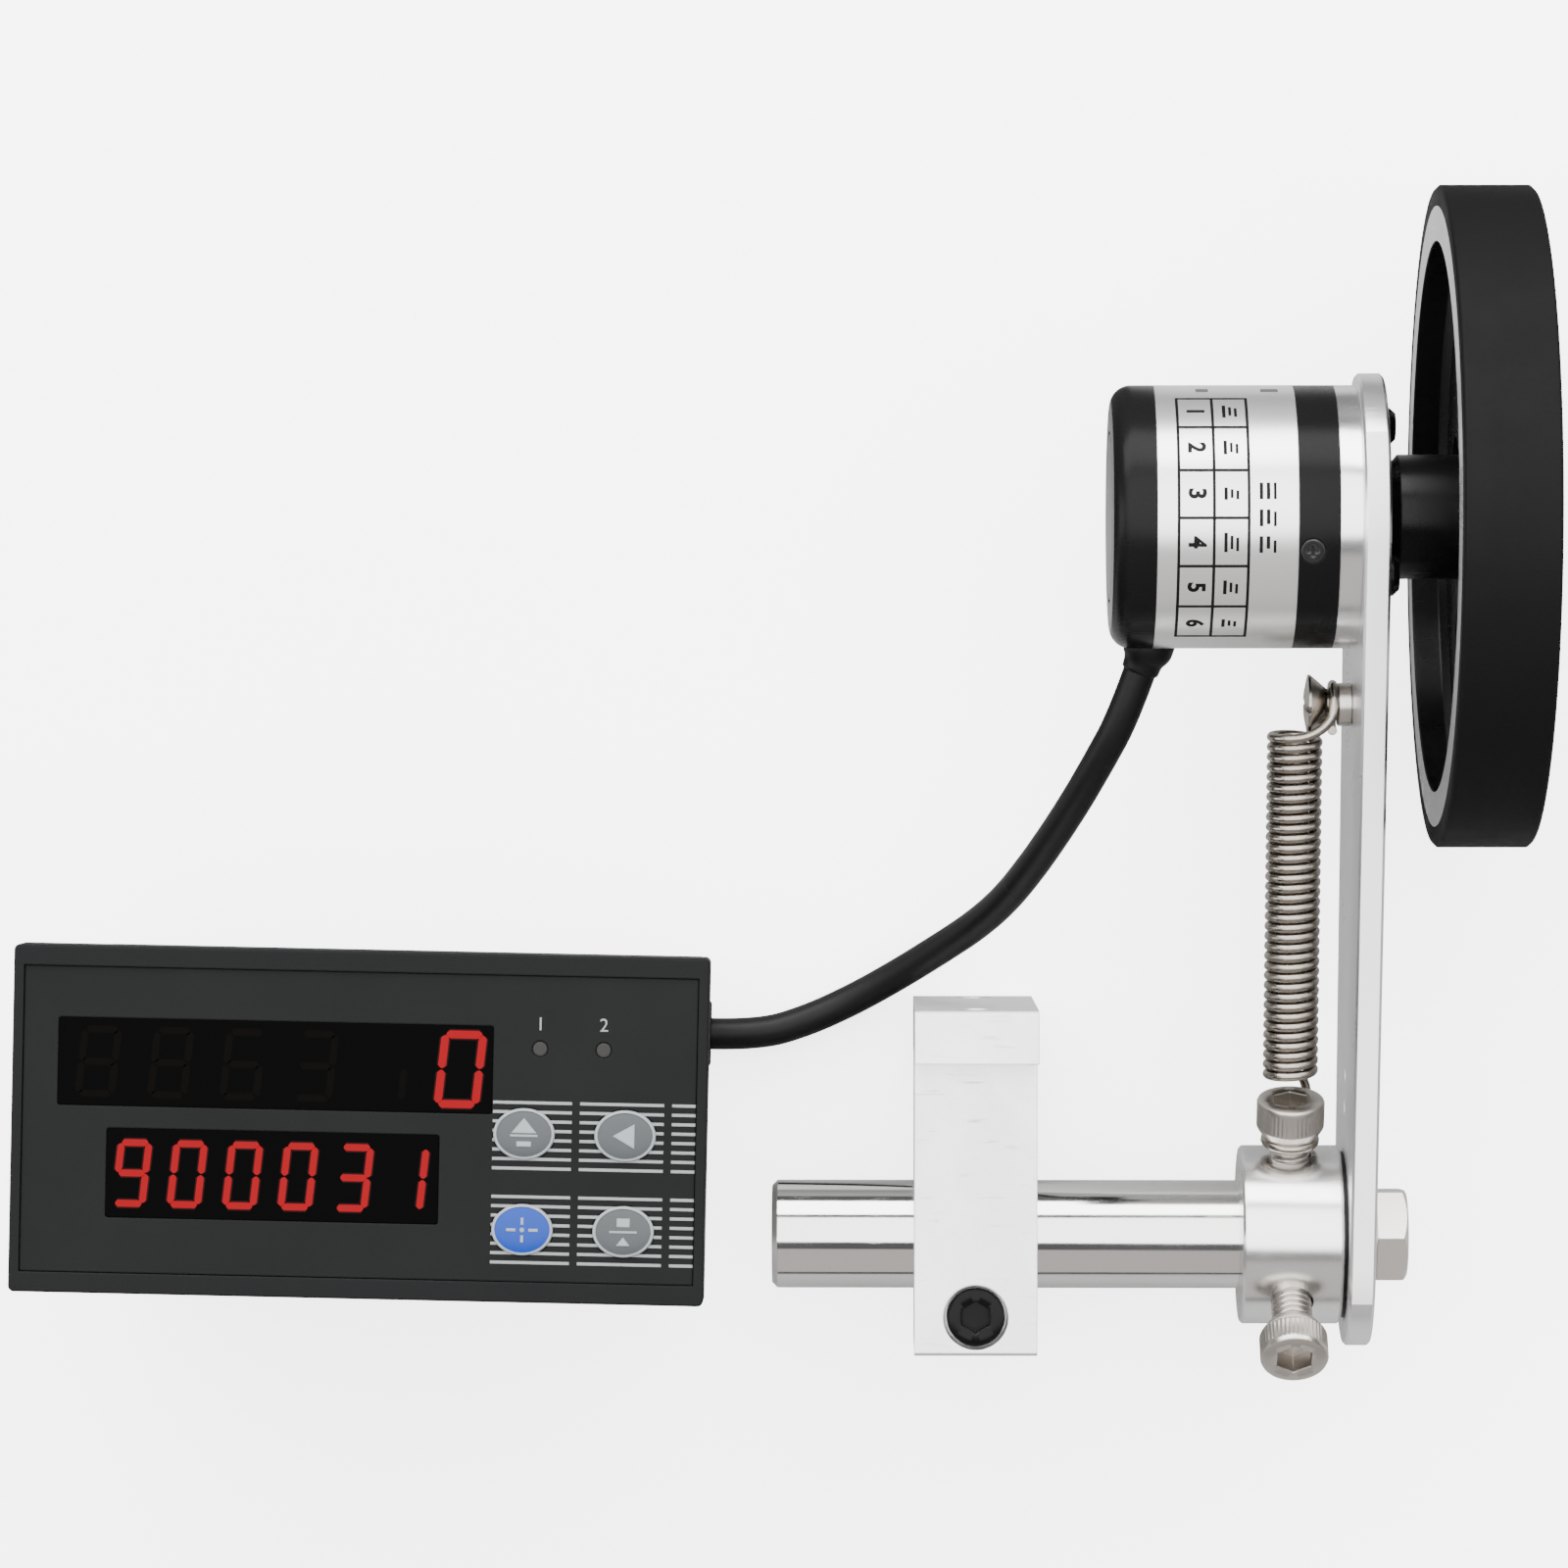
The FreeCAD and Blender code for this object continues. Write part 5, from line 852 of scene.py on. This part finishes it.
def oval(half_width, half_height, count):
    """Outline of an ellipse."""
    return [(half_width * math.cos(TAU * k / count), half_height * math.sin(TAU * k / count))
            for k in range(count)]


def text_mesh(name, words, size, place, thick, weight=0.0):
    """Plain numbers as a thin mesh."""
    text = bpy.data.curves.new(name, "FONT")
    text.body = words
    text.size = size
    text.align_x = "CENTER"
    text.align_y = "CENTER"
    text.extrude = thick / 2
    text.offset = weight
    text.resolution_u = 6
    holder = into_scene(name, text)
    bpy.context.view_layer.update()
    mesh = bpy.data.meshes.new_from_object(holder.evaluated_get(bpy.context.evaluated_depsgraph_get()))
    bpy.data.objects.remove(holder)
    mesh.materials.clear()
    mesh.transform(Matrix.Diagonal((MM, MM, MM, 1.0)) @ place)
    return mesh


def make_label_print():
    """Columns run along the axis from the cap side; rows run round the housing."""
    columns = (-26.2, -21.2, -16.3)
    rows = [-17.7, -10.5, -3.7, 3.3, 10.2, 17.4, 24.2]
    middles = [(a + b) / 2 for a, b in zip(rows, rows[1:])]
    half = 0.42 / 2
    bars = []
    for x in columns:
        bars += strip(x - half, x + half, rows[0] - half, rows[-1] + half, 28)
    for y in rows:
        bars += strip(columns[0], columns[2], y - half, y + half)
    for k, y in enumerate(middles):
        span = 0.9 + 0.25 * (k % 3)
        for x0, x1, down, up in ((-19.8, -19.3, 1.0, 1.0), (-18.9, -18.5, 0.7, 0.7),
                                 (-18.1, -17.7, 0.9, 0.5)):
            bars += strip(x0, x1, y - span * down, y + span * up, 4)
    for k, y in enumerate((7.15, 3.3, -0.5)):
        for x0, x1, down, up in ((-14.8, -14.3, 0, 0), (-13.8, -13.3, k, 0), (-12.8, -12.4, 0, k)):
            bars += strip(x0, x1, y - 1.2 + 0.3 * down, y + 1.2 - 0.3 * up, 4)
    flat = Matrix.Identity(4)
    meshes = [flat_mesh("bars", bars, PRINT_THICK, flat)]
    for k, y in enumerate(middles):
        place = Matrix.Translation((-23.7, y, PRINT_THICK / 2)) @ Matrix.Rotation(-math.pi / 2, 4, "Z")
        meshes.append(text_mesh("number", str(6 - k), 3.4, place, PRINT_THICK, 0.12))
    mesh = join_meshes("label_print", meshes)
    bend_to_label(mesh)
    finish_piece("label_print", mesh, "arm", "label ink")
    edges = strip(-23.3, -21.5, 26.8, 28.2, 2) + strip(-14.0, -11.5, 26.8, 28.2, 2)
    marks = flat_mesh("label_marks", edges, PRINT_THICK, flat)
    bend_to_label(marks)
    finish_piece("label_marks", marks, "arm", "key grey")


# Panel meter: printing, digits and keys

# Lit segments of a digit: a at the top, then round clockwise to f, and g across the middle
SEGMENTS = {"0": "abcdef", "1": "bc", "3": "abgcd", "6": "afgedc", "8": "abcdefg", "9": "abcdfg"}


def segment_spots(centre, width, height, lit, slant):
    """Places of the wanted segments of one digit: place, turn and stretch."""
    w, h = width / 2, height / 2
    along = {"a": (0, h, 0), "g": (0, 0, 0), "d": (0, -h, 0), "f": (-w, h / 2, 1), "b": (w, h / 2, 1),
             "e": (-w, -h / 2, 1), "c": (w, -h / 2, 1)}
    spots = []
    for key in lit:
        x, y, upright = along[key]
        turn = math.pi / 2 - slant if upright else 0.0
        length = (h if upright else width) * 0.97
        place = ON_METER @ Vector((centre[0] + x + y * math.tan(slant), centre[1] + y, PANEL_Z))
        spots.append((place, turned_by(ON_METER, (0, 0, turn)), (length, 1.0, 1.0)))
    return spots


def segment_pattern(stroke, thick):
    """A flat bar of unit length with rounded ends."""
    h = stroke / 2
    outline = [(-0.5, 0), (-0.47, -0.5 * h), (-0.4, -h), (0.4, -h), (0.47, -0.5 * h), (0.5, 0),
               (0.47, 0.5 * h), (0.4, h), (-0.4, h), (-0.47, 0.5 * h)]
    return flat_mesh("segment", [outline], thick, Matrix.Identity(4))


def make_digits():
    slant = math.radians(5.5)
    upper = segment_spots((13.9, 8.0), 5.2, 9.6, SEGMENTS["0"], slant)
    lower = []
    for k, digit in enumerate("900031"):
        lower += segment_spots((-31.2 + 7.66 * k, -7.3), 3.8, 8.4, SEGMENTS[digit], slant)
    for name, spots, stroke in (("upper", upper, 1.1), ("lower", lower, 0.95)):
        digits = set_out(name + "_digits", segment_pattern(stroke, 0.03), spots, "digit glow")
        finish_piece(name + "_digits", digits, "base", "digit glow")
        # A wider, thinner copy under each lit segment carries the painted glow.
        painted_glow = set_out(name + "_haze", segment_pattern(stroke + 0.4, 0.015), spots, "digit haze")
        finish_piece(name + "_haze", painted_glow, "base", "digit haze")
    ghosts = []
    for k, lit in enumerate(("c", SEGMENTS["3"], SEGMENTS["6"], SEGMENTS["8"], SEGMENTS["8"])):
        ghosts += segment_spots((3.9 - 10.0 * k, 8.0), 4.6, 8.9, lit, slant)
    faint = set_out("unlit_digits", segment_pattern(1.1, 0.02), ghosts, "ghost segment")
    finish_piece("unlit_digits", faint, "base", "ghost segment")


STRIPES = 8
STRIPE_SPAN = 9.07
STRIPE_HEIGHT = 0.42


def make_panel_print():
    """Stripe groups behind the keys and the lamps' numbers."""
    spots = []
    stripe = flat_mesh("stripe", strip(-0.5, 0.5, -0.5, 0.5), 0.02, Matrix.Identity(4))
    for left, right in ((18.5, 29.4), (30.5, 42.1), (43.2, 46.45)):
        for top in (3.6, -9.4):
            for k in range(STRIPES):
                y = top - k * STRIPE_SPAN / (STRIPES - 1)
                place = ON_METER @ Vector(((left + right) / 2, y, PANEL_Z))
                spots.append((place, turned_by(ON_METER), (right - left, STRIPE_HEIGHT, 1.0)))
    meshes = [set_out("panel_stripes", stripe, spots, "panel print")]
    for words, x in (("1", 24.83), ("2", 33.6)):
        place = ON_METER @ Matrix.Translation((x, 14.4, PANEL_Z + 0.01))
        meshes.append(text_mesh("number", words, 2.6, place, 0.02))
    mesh = join_meshes("panel_print", meshes)
    finish_piece("panel_print", mesh, "base", "panel print")


# Each key: place on the front, finish, and the sign printed on it as outlines
KEYS = {
    "key_up": (22.85, -0.72, "key grey", [[(-1.75, 0.15), (1.75, 0.15), (0, 2.25)]]
               + strip(-1.9, 1.9, -0.35, -0.05) + strip(-1.0, 1.0, -1.7, -1.0)),
    "key_left": (36.8, -0.72, "key grey", [[(-1.7, 0), (1.3, -1.7), (1.3, 1.7)]]),
    "key_set": (22.85, -13.94, "key blue", [oval(0.32, 0.32, 24)]
                + strip(-2.2, -0.9, -0.2, 0.2) + strip(0.9, 2.2, -0.2, 0.2)
                + strip(-0.2, 0.2, 0.75, 1.7) + strip(-0.2, 0.2, -1.7, -0.75)),
    "key_reset": (36.8, -13.94, "key grey", strip(-1.9, 1.9, -0.15, 0.15) + strip(-0.9, 0.9, 0.7, 1.9)
                  + [[(-0.95, -1.9), (0.95, -1.9), (0, -0.7)]]),
}
KEY_HALF_WIDTH = 4.25
KEY_HALF_HEIGHT = 3.55
KEY_SIDES = 72
KEY_RIM_BANDS = 4
# Heights of the cap's rings over the bezel's front, and their size as a share of the key's
KEY_RINGS = [(-2.9, 1.0), (-0.32, 1.0), (-0.12, 0.985), (-0.05, 0.955), (-0.05, 0.9), (-0.12, 0.885),
             (-0.1, 0.86), (0.0, 0.7), (0.06, 0.45), (0.09, 0.2), (0.1, 0.02)]
SIGN_Z = 0.085


def make_key(name):
    """An oval key: a pale rim, a domed face and its sign."""
    x, y, finish, sign = KEYS[name]
    place = ON_METER @ Matrix.Translation((x, y, 0))
    spread = Matrix.Diagonal((KEY_HALF_WIDTH, KEY_HALF_HEIGHT, 1.0, 1.0))
    mesh = rows_mesh(name + "_cap", KEY_RINGS, KEY_SIDES, place @ spread)
    shade(mesh, 50.0)
    finish_piece(name + "_cap", mesh, name, [finish, "key ring"], [name])
    for face in mesh.polygons[:KEY_RIM_BANDS * KEY_SIDES]:
        face.material_index = 1
    signs = flat_mesh(name + "_sign", sign, PRINT_THICK, place @ Matrix.Translation((0, 0, SIGN_Z)))
    finish_piece(name + "_sign", signs, name, "key ring")


# The CAD nodes that are shown as they are, and the hidden ones, with their finishes

def hub_finish(face):
    """The turned side of the rim is bare metal and the rest of the hub is black."""
    middle = ON_ENCODER.inverted() @ (face.center / MM)
    out = math.hypot(middle.y, middle.z)
    return 1 if out > RIM_FROM_R and abs(face.normal.x) > 0.9 else 0


SHOWN = [
    ("clamp_block", "block aluminium"),
    ("support_rod", ["rod steel", "turned end"], 32.0, lambda face: int(face.normal.x < -0.3)),
    ("stop_collar", "collar steel"),
    ("pivot_washer", "washer black"),
    ("pivot_bolt", "bolt steel"),
    # The arm's up-facing faces take the painted-light copy of its aluminium.
    ("arm_plate", ["arm aluminium", "arm front"], 32.0, lambda face: int(face.normal.z > 0.85)),
    ("spring_post", "spring wire"),
    ("post_sleeve", "screw steel"),
    ("encoder_flange", "collar steel"),
    ("encoder_cover", ["encoder black", "encoder end"], 40.0, lambda face: int(face.normal.x < -0.97)),
    ("encoder_label", "label silver"),
    ("cover_screw", "cover screw"),
    ("encoder_screws", "black screw"),
    ("wheel_hub", ["hub black", "rim silver"], 32.0, hub_finish),
    ("wheel_tread", "tread rubber", 50.0),
    ("encoder_shaft", "rod steel"),
    ("hub_set_screw", "black screw"),
    ("meter_bezel", "bezel plastic"),
    ("front_panel", "panel film"),
    ("display_windows", "window black"),
    ("indicator_lamps", "lamp lens"),
    ("meter_housing", "bezel plastic"),
    ("rear_cover", "bezel plastic"),
    ("terminal_blocks", "bezel plastic"),
    ("terminal_screws", "screw steel"),
    ("mounting_clips", "bezel plastic"),
    ("encoder_bearings", "rod steel"),
]
PAINTED = {
    "window black": ("upper_display", "lower_display"),
    "board green": ("display_board", "power_board", "encoder_board"),
    "component grey": ("key_switches", "alarm_relays", "optical_sensor", "filter_capacitors"),
    "transformer iron": ("power_transformer",),
    "collar steel": ("code_disc",),
}


def dress_all():
    for row in SHOWN:
        dress(*row)
    for finish, nodes in PAINTED.items():
        for node in nodes:
            paint(node, finish)


set_camera()
set_light()
make_bench()
dress_all()
make_cable(dress("signal_plug", "bezel plastic"))
make_gland()
make_spring()
make_collar_screws()
make_clamp_screw()
make_label_print()
make_digits()
make_panel_print()
for key in KEYS:
    make_key(key)
